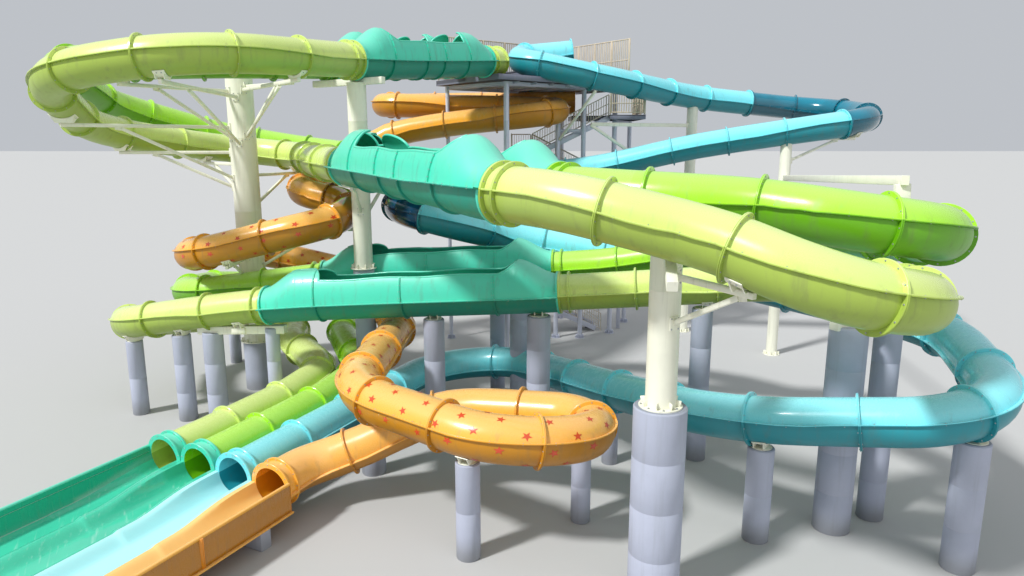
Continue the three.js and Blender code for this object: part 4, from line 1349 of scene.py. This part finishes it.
@dataclass
class Saddle:
    """A bent steel shoe under a slide on two cheek plates."""

    route: Route
    s: float
    spread: float = 42.0
    inner: float = 0.606
    outer: float = 0.63
    length: float = 0.34
    plate: float = 0.012
    taper: float = 0.62

    def add(self, draft: Draft, floor: float) -> None:
        """Draws the saddle down to a level seat.

        Args:
            draft: The piece.
            floor: Height of the seat.
        """
        place, half = self.route.upright(self.s), self.length / 2
        turns = [math.radians(270 + self.spread * (k / 6 - 1)) for k in range(13)]
        rows = []
        for z in (-half, half):
            at = place.point(z=z)
            rows.append([at + place.spoke(t) * self.inner for t in turns])
            rows[-1] += [at + place.spoke(t) * self.outer for t in turns[::-1]]
        draft.grid(rows, CREAM_STEEL, True, True)
        flat = Vector((*place.forward.xy, 0)).normalized() * self.plate
        for z in (-half * 0.75, half * 0.75):
            at = place.point(z=z)
            edge = [at + place.spoke(t) * (self.inner + 0.01) for t in turns]
            foot = [Vector((*(at + (p - at) * self.taper).xy, floor)) for p in edge]
            if min(p.z for p in edge) > floor - 0.02:
                draft.grid([[p + flat * way for p in edge + foot[::-1]] for way in (-1, 1)], CREAM_STEEL, True, True)
        for z in (-half * 0.4, half * 0.4):
            for side in (-1, 1):
                way = place.spoke(math.radians(270 + side * (self.spread - 7)))
                draft.bolt(place.point(z=z) + way * self.outer, way, 0.018, 0.018)


@dataclass
class Bracket:
    """An arm from a column to the underside of a slide, with a brace below it."""

    slide: Slide
    s: float
    drop: float = 1.3
    out: float = 0.72
    seat_drop: float = 0.74

    def add(self, draft: Draft, site: Site, pole: Pole) -> None:
        """Draws the arm, brace, end plates and shoe.

        Args:
            draft: The piece.
            site: The site.
            pole: The pole that carries it.
        """
        route = site.routes[self.slide]
        p, foot = route.frame(self.s).at, site.at(pole.x, pole.y)
        level = p.z - self.seat_drop
        reach = Vector((p.x - foot.x, p.y - foot.y, 0))
        away = reach.normalized()
        skin = foot + away * (pole.radius - 0.03)
        root, low = skin + UP * level, skin + UP * (level - self.drop)
        high = foot + reach * self.out + UP * (level - 0.1)
        draft.bar(root, foot + reach + UP * level + away * 0.16, 0.11, 0.13, CREAM_STEEL)
        draft.bar(low, high, 0.1, 0.11, CREAM_STEEL)
        side = away.cross(UP) * 0.09
        for seat, tall in ((root, 0.34), (low, 0.3)):
            draft.bar(seat - away * 0.015, seat + away * 0.055, 0.24, tall, CREAM_STEEL, 0.006)
            for a in (-1, 1):
                for b in (-1, 1):
                    draft.bolt(seat + away * 0.055 + side * a + UP * tall * 0.38 * b, away, 0.016, 0.016)
        draft.bar(high + UP * 0.02, high + away * 0.2 + UP * 0.06, 0.02, 0.2, CREAM_STEEL, 0.004)
        Saddle(route, self.s).add(draft, level + 0.06)


@dataclass
class Pole:
    """One upright round post and its height range."""

    x: float
    y: float
    low: float
    top: float
    radius: float
    first_seam = 2.6
    seam_pitch = 2.9
    plain_head = 0.8

    def add(self, draft: Draft, site: Site, finish: Finish) -> None:
        """Draws the pole with weld seams, a base plate and a cap.

        Args:
            draft: The piece.
            site: The site.
            finish: Its finish.
        """
        base, r = site.at(self.x, self.y, self.low + 0.03), self.radius
        profile, seam = [(r, self.low + 0.03)], self.low + self.first_seam
        while seam < self.top - self.plain_head:
            profile += [(r, seam - 0.012), (r + 0.005, seam), (r, seam + 0.012)]
            seam += self.seam_pitch
        cap = ((0.0, 0.02), (0.03, 0.02), (0.03, 0.004), (0.026, 0.0))
        draft.lathe(base, profile + [(r + out, self.top - down) for out, down in cap], finish)
        foot = ((0.14, 0.0), (0.14, 0.026), (0.134, 0.032))
        draft.lathe(base, [(r + out, self.low + up) for out, up in foot], finish)
        for t in circle(8, 0.5):
            way, turned = (Vector((math.cos(a), math.sin(a), 0)) for a in (t, t + 0.35))
            stiffener = (base + way * (r - 0.01) + UP * 0.08, base + way * (r + 0.1) + UP * 0.06)
            draft.bar(*stiffener, 0.014, 0.15, finish, 0.003)
            draft.bolt(base + turned * (r + 0.085), UP, 0.022, 0.03)


Beam = tuple[Point, Point, float, float]


@dataclass
class Column:
    """A steel column with its arms to the slides."""

    node: str
    pole: Pole
    brackets: list[Bracket]
    beams: list[Beam]
    pedestal: float = 0.0

    def build(self, site: Site) -> None:
        """Draws the column.

        Args:
            site: The site.
        """
        draft, pole = Draft(self.node, "steelwork"), self.pole
        if self.pedestal:
            wide = pole.radius + 0.05
            shaft = [(wide, 0.0), (wide, self.pedestal - 0.03), (wide - 0.03, self.pedestal)]
            draft.lathe(site.at(pole.x, pole.y), shaft, PALE_CONCRETE, 56)
        pole.add(draft, site, CREAM_STEEL)
        for bracket in self.brackets:
            bracket.add(draft, site, pole)
        for start, end, width, height in self.beams:
            draft.bar(site.at(*start), site.at(*end), width, height, CREAM_STEEL)
        draft.build("steel")


@dataclass
class Pier:
    """A round cast pier with a steel saddle for each slide it carries."""

    node: str
    x: float
    y: float
    top: float
    radius: float
    saddles: bool = True
    seat_drop: float = 0.74
    joint_pitch: float = 1.25

    def build(self, site: Site) -> None:
        """Draws the pier.

        Args:
            site: The site.
        """
        draft, spot = Draft(self.node, "cast"), site.at(self.x, self.y)
        carried = site.carried(self.x, self.y, self.top) if self.saddles else []
        self.top = min([self.top] + [route.frame(s).at.z - self.seat_drop for route, s in carried])
        self.cast(draft, site)
        for route, s in carried:
            Saddle(route, s, 38.0).add(draft, self.top + 0.02)
        if carried:
            plate = [(self.radius * 0.8, self.top + up) for up in (-0.002, 0.022)]
            draft.lathe(spot, plate, CREAM_STEEL, 24)
        draft.build("concrete")

    def cast(self, draft: Draft, site: Site) -> None:
        """Draws the cast shaft with form joints and a chamfered head.

        Args:
            draft: The piece.
            site: The site.
        """
        r, profile = self.radius, [(self.radius - 0.012, 0.0), (self.radius, 0.02)]
        count = max(1, round(self.top / self.joint_pitch))
        for z in (self.top * k / count for k in range(1, count)):
            profile += [(r, z - 0.01), (r - 0.003, z - 0.005), (r - 0.003, z + 0.005), (r, z + 0.01)]
        profile += [(r, self.top - 0.03), (r - 0.03, self.top)]
        draft.lathe(site.at(self.x, self.y), profile, PALE_CONCRETE, 56)


@dataclass
class Portal:
    """Two cast posts with a cross beam and a block that carries the slides."""

    node: str
    posts: list[tuple[float, float, float, float]]
    beam: tuple[Point, Point, float]
    block: tuple[float, float, float, float, float]
    seat_drop: float = 0.7

    def build(self, site: Site) -> None:
        """Draws the portal.

        Args:
            site: The site.
        """
        draft = Draft(self.node, "cast")
        for post in self.posts:
            Pier(self.node, *post).cast(draft, site)
        start, end, thick = self.beam
        draft.bar(site.at(*start), site.at(*end), thick, thick, CREAM_STEEL, 0.02)
        x, y, low, high, wide = self.block
        carried = site.carried(x, y, high)
        top = min([high] + [route.frame(s).at.z - self.seat_drop for route, s in carried])
        if top > low + 0.05:
            draft.post(site.at(x, y, low), top - low, wide, wide, CREAM_STEEL, 0.02)
        for route, s in carried:
            Saddle(route, s).add(draft, top)
        draft.build("concrete")


@dataclass
class Plinth:
    """The low cross walls and spine under the lanes, and the cradle under the last tubes."""

    walls: tuple[float, ...] = (1.0, 3.9, 6.8, 9.7)
    wall_length: float = 5.68
    thick: float = 0.35
    first_lane: float = 0.71
    lane_floor: float = 0.64
    lane_fall: float = 0.22
    lane_length: float = 10.65
    lane_depth: float = 0.075
    cradle_back: float = 3.6
    cradle_half: float = 2.2
    cradle_top: float = 1.05
    seat_drop: float = 0.68

    def build(self, site: Site) -> None:
        """Draws the walls and the cradle.

        Args:
            site: The site.
        """
        heading = LANE_HEADING.normalized()
        across = Vector((-heading.y, heading.x, 0))
        ends = {slide: route.frame(route.length).at for slide, route in site.routes.items()}
        start = Vector((*ends[A].xy, 0)) - heading * 0.05
        low = Draft("lane_plinth", "cast")
        for s in self.walls:
            top = self.lane_floor - self.lane_fall * s / self.lane_length - self.lane_depth
            middle = start + heading * s + across * (self.wall_length / 2 - self.first_lane) + UP * top / 2
            half = across * self.wall_length / 2
            low.bar(middle - half, middle + half, self.thick, top, PALE_CONCRETE, 0.015)
        spine = Vector((*ends[B].xy, 0)) + heading * 5.15 + Vector((0.63, -0.32, 0.15))
        low.bar(spine - heading * 4.5, spine + heading * 4.5, 0.3, 0.3, PALE_CONCRETE, 0.015)
        low.build("concrete")
        foot = start - heading * self.cradle_back + across * (self.cradle_half - self.first_lane)
        self._add_cradle(site, foot, heading, across)

    def _add_cradle(self, site: Site, middle: Vector, heading: Vector, across: Vector) -> None:
        """Draws the cradle under the last tubes.

        Args:
            site: The site.
            middle: Middle of its foot.
            heading: Direction down the lanes.
            across: Direction from the first lane to the last.
        """
        cradle, over = Draft("exit_cradle", "cast"), []
        for route in site.routes.values():
            for s in (route.length - 6 + k * 0.06 for k in range(80)):
                at = route.frame(s).at
                away = Vector((*at.xy, 0)) - middle
                if abs(away.dot(heading)) < 0.04:
                    if -2.3 < away.dot(across) < 2.5:
                        over.append((route, s, at.z))
                    break
        top = min([self.cradle_top] + [z - self.seat_drop for _, _, z in over])
        centre, half = middle + UP * top / 2, across * self.cradle_half
        cradle.bar(centre - half, centre + half, 0.4, top, PALE_CONCRETE, 0.015)
        for route, s, _ in over:
            Saddle(route, s).add(cradle, top)
        cradle.build("concrete")


@dataclass
class Railing:
    """A slatted guard rail along a chain of corners."""

    node: str
    corners: list[tuple[float, float]]
    floor: float
    height: float
    slat_pitch: float = 0.125
    slat_width: float = 0.045

    def build(self, site: Site) -> None:
        """Draws posts, rails and slats.

        Args:
            site: The site.
        """
        draft, tall = Draft(self.node, "slats"), self.height
        for i, ends in enumerate(pairwise(self.corners)):
            a, b = (site.at(*corner, self.floor) for corner in ends)
            span, count = b - a, max(1, round((b - a).length / 1.4))
            for k in range(1 if i else 0, count + 1):
                foot = a + span * k / count
                draft.post(foot, tall, 0.08, 0.08, SLAT_TIMBER, 0.008)
                draft.post(foot, 0.012, 0.15, 0.15, TOWER_STEEL, 0.003)
            for up, deep in ((0.12, 0.06), (tall * 0.52, 0.05), (tall - 0.03, 0.06)):
                draft.bar(a + UP * up, b + UP * up, 0.05, deep, SLAT_TIMBER, 0.008)
            number = int(span.length / self.slat_pitch)
            for k in range(number):
                foot = a + span * (k + 0.5) / number + UP * 0.09
                draft.post(foot, tall - 0.13 - 0.012 * ((k * 7) % 3), self.slat_width, 0.024, SLAT_TIMBER, 0.004)
        draft.build("rail")


@dataclass
class Tower:
    """The start tower: posts and beams, two decks, guard rails and the switchback stair."""

    site: Site
    corner: tuple[float, float] = (-0.6, 33.4)
    size: tuple[float, float] = (8.5, 5.3)
    along: tuple[float, float] = (0.794, 0.608)
    upper_floor: float = 13.35
    lower_floor: float = 11.7
    post_top: float = 13.09
    flight_drop: float = 1.95
    flight_run: float = 3.9
    flight_left: float = 1.05
    flight_width: float = 1.05
    flight_lanes: tuple[float, float] = (37.8, 38.9)
    flights: int = 6
    steps: int = 9

    def spot(self, u: float, v: float) -> tuple[float, float]:
        """Site plan place of a point along and across the upper deck."""
        x, y = self.along
        return self.corner[0] + u * x - v * y, self.corner[1] + u * y + v * x

    def build(self) -> None:
        """Draws the tower."""
        self.frame()
        self.upper_deck()
        self.lower_deck()
        self.stair()
        upper = [self.spot(8.42, 0.1), self.spot(8.42, 5.22), self.spot(0.1, 5.22)]
        Railing("rail_upper", upper, self.upper_floor, 2.19).build(self.site)
        lower = [(5.0, 37.65), (6.75, 37.65), (6.75, 41.35)]
        Railing("rail_lower", lower, self.lower_floor, 1.09).build(self.site)

    def frame(self) -> None:
        """Draws the posts, beams and knee braces."""
        draft, at, spot, top = Draft("tower_frame", "steelwork"), self.site.at, self.spot, self.post_top
        ring = [spot(1.0, 0.75), spot(7.9, 0.5), spot(8.0, 4.8), spot(0.4, 4.9)]
        poles = [Pole(*place, 0, top, radius) for place, radius in zip(ring, (0.13, 0.13, 0.13, 0.1))]
        poles += [Pole(3.65, 37.6, 0, top, 0.12), Pole(2.35, 37.62, 0, 11.9, 0.12), Pole(6.55, 41.1, 0, 11.48, 0.12)]
        for pole in poles:
            pole.add(draft, self.site, TOWER_STEEL)
        for start, end in pairwise([*ring, ring[0]]):
            self.joist(draft, at(*start, 13.0), at(*end, 13.0), 0.14, 0.18)
        self.joist(draft, at(2.35, 37.62, 10.9), at(3.65, 37.6, 10.9), 0.1, 0.16)
        self.joist(draft, at(*spot(7.9, 0.5), 11.38), at(6.55, 41.1, 11.38), 0.1, 0.18)
        draft.bar(at(2.42, 37.5, 10.45), at(3.98, 35.42, 12.72), 0.11, 0.12, CREAM_STEEL)
        for u in (1.4 + k * 1.05 for k in range(7)):
            self.joist(draft, at(*spot(u, 0.3), 13.04), at(*spot(u, 5.0), 13.04), 0.08, 0.1)
        draft.build("tower_steel")

    @staticmethod
    def joist(draft: Draft, start: Vector, end: Vector, width: float, height: float) -> None:
        """Draws an I-shaped beam: two flanges and a web.

        Args:
            draft: The piece.
            start: Middle of one end.
            end: Middle of the other end.
            width: Width of its flanges.
            height: Its height.
        """
        lift = UP * (height / 2 - 0.007)
        for shift, wide, tall in ((lift, width, 0.014), (-lift, width, 0.014), (lift * 0, 0.012, height - 0.026)):
            draft.bar(start + shift, end + shift, wide, tall, TOWER_STEEL, 0.002)

    def upper_deck(self) -> None:
        """Draws the upper deck with its fascia boards and the raised start platform."""
        (long, wide), top, edge = self.size, self.upper_floor, 0.02
        low, high, thick = 13.1, self.upper_floor - 0.005, 2 * edge
        slabs = [(0, long, 0, wide, 13.17, top, DARK_DECK)]
        slabs += [(0, long, v, v + thick, low, high, FASCIA_STEEL) for v in (0.0, wide - thick)]
        slabs += [(u, u + thick, thick, wide - thick, low, high, FASCIA_STEEL) for u in (0.0, long - thick)]
        slabs += [(4.2, 8.35, 1.6, 5.15, 13.93, 14.0, DARK_DECK), (4.24, 8.31, 1.64, 5.11, 13.3, 13.93, FASCIA_STEEL)]
        slabs += [(4.4 + 0.75 * k, 4.44 + 0.75 * k, 1.615, 1.64, 13.36, 13.93, SLAT_TIMBER) for k in range(6)]
        draft = Draft("deck_upper", "floor")
        for u0, u1, v0, v1, under, over, finish in slabs:
            a, b = (self.site.at(*self.spot(u, (v0 + v1) / 2), (under + over) / 2) for u in (u0, u1))
            draft.bar(a, b, v1 - v0, over - under, finish)
        draft.build("deck")

    def lower_deck(self) -> None:
        """Draws the lower deck with its edge channels."""
        draft, at, z = Draft("deck_lower", "floor"), self.site.at, self.lower_floor - 0.12
        for x, y, wide, deep in ((4.975, 40.15, 3.65, 2.5), (5.875, 39.5, 1.85, 3.8)):
            x0, x1, y0, y1 = x - wide / 2, x + wide / 2, y - deep / 2, y + deep / 2
            draft.bar(at(x0, y, z + 0.09), at(x1, y, z + 0.09), deep, 0.06, DARK_DECK, 0.01)
            for level, upright in ((y0 + 0.03, x0 + 0.03), (y1 - 0.03, x1 - 0.03)):
                draft.bar(at(x0, level, z), at(x1, level, z), 0.06, 0.2, FASCIA_STEEL, 0.006)
                draft.bar(at(upright, y0, z), at(upright, y1, z), 0.06, 0.2, FASCIA_STEEL, 0.006)
        draft.build("deck")

    def flight(self, draft: Draft, near: float, top: float, left: bool) -> None:
        """Draws one flight with stringers, treads, risers and hand rails.

        Args:
            draft: The piece.
            near: Near edge of its lane.
            top: Height of its head.
            left: Whether it falls to the left.
        """
        run, drop, wide = self.flight_run, self.flight_drop, self.flight_width
        start, way = self.flight_left + (run if left else 0.0), -1.0 if left else 1.0

        def at(x: float, y: float, z: float) -> Vector:
            """A point x along the fall of the flight."""
            return self.site.at(start + way * x, y, z)

        last = top - drop - 0.3 < 0
        foot = (run - 0.3, max(0.02, top - drop + 0.16)) if last else (run + 0.02, max(0.05, top - drop - 0.13))
        sides = (near + 0.03, near + wide - 0.03)
        for y in sides:
            draft.bar(at(-0.02, y, top - 0.16), at(foot[0], y, foot[1]), 0.05, 0.27, TOWER_STEEL, 0.006)
        going, rise, middle = run / self.steps, drop / self.steps, near + wide / 2
        for i in range(self.steps):
            x, z = i * going, top - (i + 1) * rise
            if z >= 0.05:
                tread = (at(x, middle, z - 0.02), at(x + going + 0.02, middle, z - 0.02))
                riser = (at(x, middle, max(0.01, z - 0.02)), at(x, middle, z + rise))
                draft.bar(*tread, wide - 0.12, 0.04, DARK_DECK, 0.006)
                draft.bar(*riser, 0.012, wide - 0.14, TOWER_STEEL, 0.002)
        slope, count = drop / run, 30
        for y in sides:
            for up, thick in ((1.0, 0.05), (0.55, 0.035), (0.12, 0.035)):
                a, b = at(0.02, y, top + up), at(run - 0.02, y, top + up - slope * (run - 0.04))
                draft.bar(a, b, thick, thick, RAIL_PALE, 0.006)
            for k in range(count + 1):
                x = 0.02 + (run - 0.04) * k / count
                thick, low = (0.022, 0.12) if k % 10 else (0.05, -0.1)
                foot = at(x, y, max(0.02, top - slope * x + low))
                draft.bar(foot, at(x, y, top - slope * x + 1.0), thick, thick, RAIL_PALE, 0.004)

    def stair(self) -> None:
        """Draws the flights, their landings and the landing posts."""
        draft, at = Draft("stair", "steelwork"), self.site.at
        right = self.flight_left + self.flight_run
        for k in range(self.flights):
            top, odd = self.lower_floor - k * self.flight_drop, k % 2
            self.flight(draft, self.flight_lanes[odd], top, not odd)
            if k == self.flights - 1:
                break
            x, z = right + 0.55 if odd else self.flight_left - 0.55, top - self.flight_drop
            for y, up, width, height, *edge in (
                (38.875, -0.03, 2.15, 0.06, DARK_DECK, 0.008),
                *((y, -0.13, 0.06, 0.16, TOWER_STEEL, 0.006) for y in (37.83, 39.92)),
            ):
                draft.bar(at(x - 0.56, y, z + up), at(x + 0.56, y, z + up), width, height, *edge)
            side = x + (0.53 if odd else -0.53)
            self.guard(draft, at(side, 37.84, z), at(side, 39.92, z))
            self.guard(draft, at(x - 0.5, 39.92, z), at(x + 0.5, 39.92, z))
        for x, y, top in ((-0.05, 38.875, 9.7), (right + 1.05, 39.6, 7.7)):
            draft.post(at(x, y), top, 0.2, 0.14, TOWER_STEEL, 0.012)
        draft.build("tower_steel")

    @staticmethod
    def guard(draft: Draft, start: Vector, end: Vector) -> None:
        """Draws a landing's guard rail.

        Args:
            draft: The piece.
            start: One end on the landing.
            end: The other end.
        """
        for up, thick in ((1.0, 0.05), (0.12, 0.035)):
            draft.bar(start + UP * up, end + UP * up, thick, thick, RAIL_PALE, 0.006)
        count = max(2, round((end - start).length / 0.13))
        for k in range(count + 1):
            thick = 0.05 if k in (0, count) else 0.022
            draft.post(start + (end - start) * k / count, 1.0, thick, thick, RAIL_PALE, 0.004)


@dataclass
class Studio:
    """Floor, lamps and camera."""

    spot: tuple[float, float, float] = (-0.308, -25.528, 10.3)
    pitch: float = 11.4
    lens: float = 25.3125
    reach: float = 900.0
    lamps = (("key_lamp", 3.4, 6.0, (42.0, 0.0, -55.0)), ("fill_lamp", 0.3, 60.0, (60.0, 0.0, 30.0)))

    @staticmethod
    def place(
        name: str, data: bpy.types.ID, location: Point = (0.0, 0.0, 0.0), turn: Point = (0.0, 0.0, 0.0)
    ) -> bpy.types.Object:
        """Puts an object on the stage.

        Args:
            name: Its name.
            data: What it shows.
            location: Its place.
            turn: Its turn in degrees.

        Returns:
            The object.
        """
        made = bpy.data.objects.new(name, data)
        made.location, made.rotation_euler = location, [math.radians(a) for a in turn]
        bpy.context.scene.collection.objects.link(made)
        return made

    def build(self) -> None:
        """Lays a plain pale floor, lights the object softly and makes the camera."""
        mesh, far = bpy.data.meshes.new("studio_floor"), self.reach
        mesh.from_pydata([(-far, -far, 0), (far, -far, 0), (far, far, 0), (-far, far, 0)], [], [(0, 1, 2, 3)])
        mesh.materials.append(STUDIO_FLOOR.material())
        self.place("studio_floor", mesh, (0.0, 0.0, -0.002))
        for name, energy, angle, turn in self.lamps:
            lamp = bpy.data.lights.new(name, "SUN")
            lamp.energy, lamp.angle = energy, math.radians(angle)
            self.place(name, lamp, turn=turn)
        scene = bpy.context.scene
        scene.world = bpy.data.worlds.new("pale_sky")
        scene.world.use_nodes = True
        back = scene.world.node_tree.nodes["Background"].inputs
        back["Color"].default_value, back["Strength"].default_value = (0.86, 0.9, 0.96, 1.0), 0.6
        scene.view_settings.view_transform = "Standard"
        camera = bpy.data.cameras.new("main_camera")
        camera.lens, camera.sensor_width, camera.clip_end = self.lens, 36.0, 2000.0
        scene.camera = self.place("main_camera", camera, self.spot, (90 - self.pitch, 0.0, 0.0))


# Closed runs: node, slide, first and last plan length (None for the route's end), and shells of
# their own where they aren't the slide's.
TUBES: list[tuple[str, Slide, float, Optional[float], Optional[Shells]]] = [
    ("a_start", A, 0.0, 1.1, None),
    ("a_upper_loop", A, 9.4, 44.4, None),
    ("a_right_turn", A, 54.9, 80.0, None),
    ("a_exit", A, 90.5, None, None),
    ("b_start", B, 0.0, 1.1, None),
    ("b_upper_loop", B, 8.2, 36.5, None),
    ("b_right_turn", B, 52.7, 79.6, None),
    ("b_exit", B, 88.8, None, None),
    ("c_start", C, 0.0, 17.4, None),
    ("c_right_turn", C, 17.4, 27.8, Shells.see_through("deep_teal", 8, 104, 124)),
    ("c_return", C, 27.8, 48.4, None),
    ("c_left_turn", C, 48.4, 55.4, Shells.see_through("navy", 14, 66, 98)),
    ("c_mid_leg", C, 55.4, 75.0, None),
    ("c_low_loop", C, 75.0, None, None),
    ("d_upper_loop", D, 0.0, 40.4, None),
    ("d_amber_turn", D, 40.4, 44.2, Shells.see_through("amber", 172, 112, 28)),
    ("d_star_loop", D, 44.2, 63.6, None),
    ("d_front_loop", D, 63.6, 80.8, None),
    ("d_exit", D, 80.8, None, None),
]
STARRED = ("d_star_loop", "d_front_loop")

# Lobes of a far wall by distance from the hood's end: middle, half length and share of the full height.
TOP_LOBES = ((2.45, 0.6, 0.93),)
MID_LOBES = ((3.0, 1.0, 0.9),)
LOW_LOBES = ((1.5, 0.3, 0.97), (2.15, 0.36, 0.95))

# Open wave sections: node, slide, first and last plan length, whether the dome stands first, the side
# of the lobes (1 left of travel), the ribs by distance from the dome's end, the height of the rim,
# how far the hood is closed on the near and on the far side, and the lobes.
WAVES: list[tuple[str, Slide, float, float, bool, int, tuple[float, ...], float, float, float, tuple]] = [
    ("a_wave_top", A, 1.1, 9.4, False, -1, (1.5, 3.5, 4.6, 6.3), 0.72, 1.9, 1.2, TOP_LOBES),
    ("a_wave_mid", A, 44.4, 54.9, False, 1, (2.0, 4.2, 5.7, 8.1), 0.72, 2.3, 1.1, MID_LOBES),
    ("a_wave_low", A, 80.0, 90.5, True, -1, (2.1, 5.3, 8.4), 0.84, 2.0, 1.1, LOW_LOBES),
    ("b_wave_top", B, 1.1, 8.2, False, -1, (1.5, 3.5, 4.6, 5.6), 0.72, 1.6, 1.0, TOP_LOBES),
    ("b_wave_mid", B, 36.5, 52.7, False, 1, (2.0, 5.3, 8.3, 11.3, 13.9), 0.74, 2.3, 1.1, MID_LOBES),
    ("b_wave_low", B, 79.6, 88.8, True, -1, (2.1, 4.8, 7.2), 0.84, 1.9, 1.1, LOW_LOBES),
]

# Finish of the collar at each mouth, which belongs to the lane below it.
MOUTHS = {A: TEAL_UPPER, B: TEAL_UPPER, C: SHELLS[C].upper, D: SHELLS[D].upper}

# Lanes: node, slide, floor finish, wall finish, slot, heights of the left and right outer walls,
# and finishes of the lip and the outside of an outer wall.
LANES: list[tuple] = [
    ("lane_a", A, LANE_TEAL, LANE_WALL_TEAL, "teal", 0.0, 0.78, TEAL_UPPER, LANE_WALL_TEAL),
    ("lane_b", B, LANE_TEAL, LANE_WALL_TEAL, "teal"),
    ("lane_c", C, LANE_CYAN, LANE_CYAN, "lane_cyan"),
    # The orange lane's outside takes the darker orange of painted shade.
    ("lane_d", D, LANE_ORANGE, LANE_WALL_ORANGE, "lane_orange", 0.78, 0.0, SHELLS[D].upper, LANE_SHADED_BACK_ORANGE),
]

# Arms of the left column: slide, plan length and drop of the brace.
LEFT_ARMS = [
    (A, 16.4, 1.8), (A, 12.0, 1.8), (A, 22.9, 2.0), (A, 26.9, 1.4), (A, 30.6, 1.2), (A, 35.4, 1.2),
    (B, 9.9, 1.8), (B, 15.7, 1.8), (D, 48.2, 1.0), (D, 54.8, 0.9), (D, 42.6, 1.6),
]
COLUMNS = [
    Column("column_left", Pole(-10.85, 29.65, 2.07, 13.2, 0.52), [Bracket(*arm) for arm in LEFT_ARMS], [], 2.07),
    Column(
        "column_mid", Pole(-5.7, 27.3, 5.58, 12.45, 0.35), [Bracket(A, 44.7, 1.0), Bracket(B, 40.5, 1.0)],
        [((-4.6, 26.7, 12.5), (-7.6, 28.7, 12.5), 0.2, 0.24)], 5.58,
    ),
    Column(
        "column_right", Pole(*PIER_MARK, 4.66, 8.6, 0.34), [Bracket(A, 60.2, 1.0, 0.9)],
        [((3.0, 13.2, 7.66), (3.5, 16.6, 8.78), 0.22, 0.22)],
    ),
    Column(
        "post_far", Pole(9.5, 39.0, 0, 12.4, 0.28), [],
        [((9.5, 39.0, 11.2), (3.9, 36.35, 11.2), 0.14, 0.18), ((3.9, 36.35, 11.15), (5.9, 37.2, 9.9), 0.12, 0.14)],
    ),
    Column(
        "post_return", Pole(12.9, 34.5, 0, 10.5, 0.26), [Bracket(C, 27.2, 1.0)],
        [((12.9, 34.5, 8.67), (10.15, 18.75, 9.35), 0.2, 0.25), ((10.16, 18.9, 9.25), (10.22, 18.9, 8.42), 0.14, 0.4)],
    ),
]
PIERS = [
    Pier("pier_" + name, x, y, top, radius)
    for name, x, y, top, radius in (
        ("left_end", -14.4, 26.5, 3.3, 0.3), ("left_mid", -12.3, 25.9, 3.7, 0.33),
        ("left_far", -13.2, 33.15, 3.4, 0.26), ("low_a", -2.7, 24.15, 4.8, 0.36),
        ("low_b", 0.9, 23.55, 5.1, 0.4), ("mid_leg", -0.6, 28.65, 6.5, 0.3),
        ("far_leg", 0.3, 27.1, 5.4, 0.38), ("orange_left", -4.4, 21.4, 3.2, 0.38),
        ("orange_front", -1.1, 16.6, 3.0, 0.31), ("orange_right", 1.9, 18.4, 2.6, 0.27),
        ("cyan_back", 3.2, 22.1, 2.4, 0.26), ("return", 6.1, 22.45, 5.5, 0.33),
        ("cyan_front", 6.45, 17.45, 3.3, 0.34), ("cyan_end", 11.0, 16.1, 4.1, 0.39),
    )
] + [Pier("pier_central", *PIER_MARK, 4.66, 0.59, saddles=False)]
PORTALS = [
    Portal(
        "portal_left", [(-11.0, 25.6, 3.5, 0.36), (-8.7, 25.3, 3.75, 0.25)],
        ((-11.5, 25.65, 3.55), (-8.2, 25.25, 3.7), 0.3), (-9.9, 25.45, 3.5, 4.4, 0.5),
    ),
    Portal(
        "portal_right", [(8.7, 18.0, 5.7, 0.48), (10.05, 18.6, 5.7, 0.35)],
        ((8.2, 17.8, 5.75), (10.5, 18.8, 5.75), 0.3), (9.35, 18.3, 5.6, 6.3, 0.5),
    ),
]


def site_plan() -> Site:
    """Ties the site plan to the frame by the large pier.

    Returns:
        The site with its routes.
    """
    low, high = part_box("pier_central")
    middle = (Vector(low) + Vector(high)) / 2
    shift = Vector((middle.x - PIER_MARK[0], middle.y - PIER_MARK[1], 0.0))
    return Site(shift, {slide: Route(corners, shift) for slide, corners in ROUTE_CORNERS.items()})


def build_slides(site: Site) -> None:
    """Builds the tubes, the wave sections and the lanes.

    Args:
        site: The site.
    """
    for node, slide, start, end, shells in TUBES:
        route, step = site.routes[slide], TubeRun.sleeve
        last = end or route.length
        beside = [edge for _, owner, first, final, *_ in WAVES if owner == slide for edge in (first, final)]
        sleeves = [start + step] * (start in beside) + [last - step] * (last in beside or not end)
        mouth = None if end else MOUTHS[slide]
        TubeRun(node, route, start, last, shells or SHELLS[slide], sleeves, node in STARRED, mouth).build()
    for node, slide, *shape in WAVES:
        WaveRun(node, site.routes[slide], *shape).build()
    for node, slide, *shape in LANES:
        Lane(node, site.routes[slide], *shape).build()


def main() -> None:
    """Builds the whole site."""
    logging.basicConfig(level=logging.INFO, format="%(message)s")
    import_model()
    site = site_plan()
    build_slides(site)
    for support in [*COLUMNS, *PIERS, *PORTALS, Plinth()]:
        support.build(site)
    Tower(site).build()
    Studio().build()


if __name__ == "__main__":
    main()
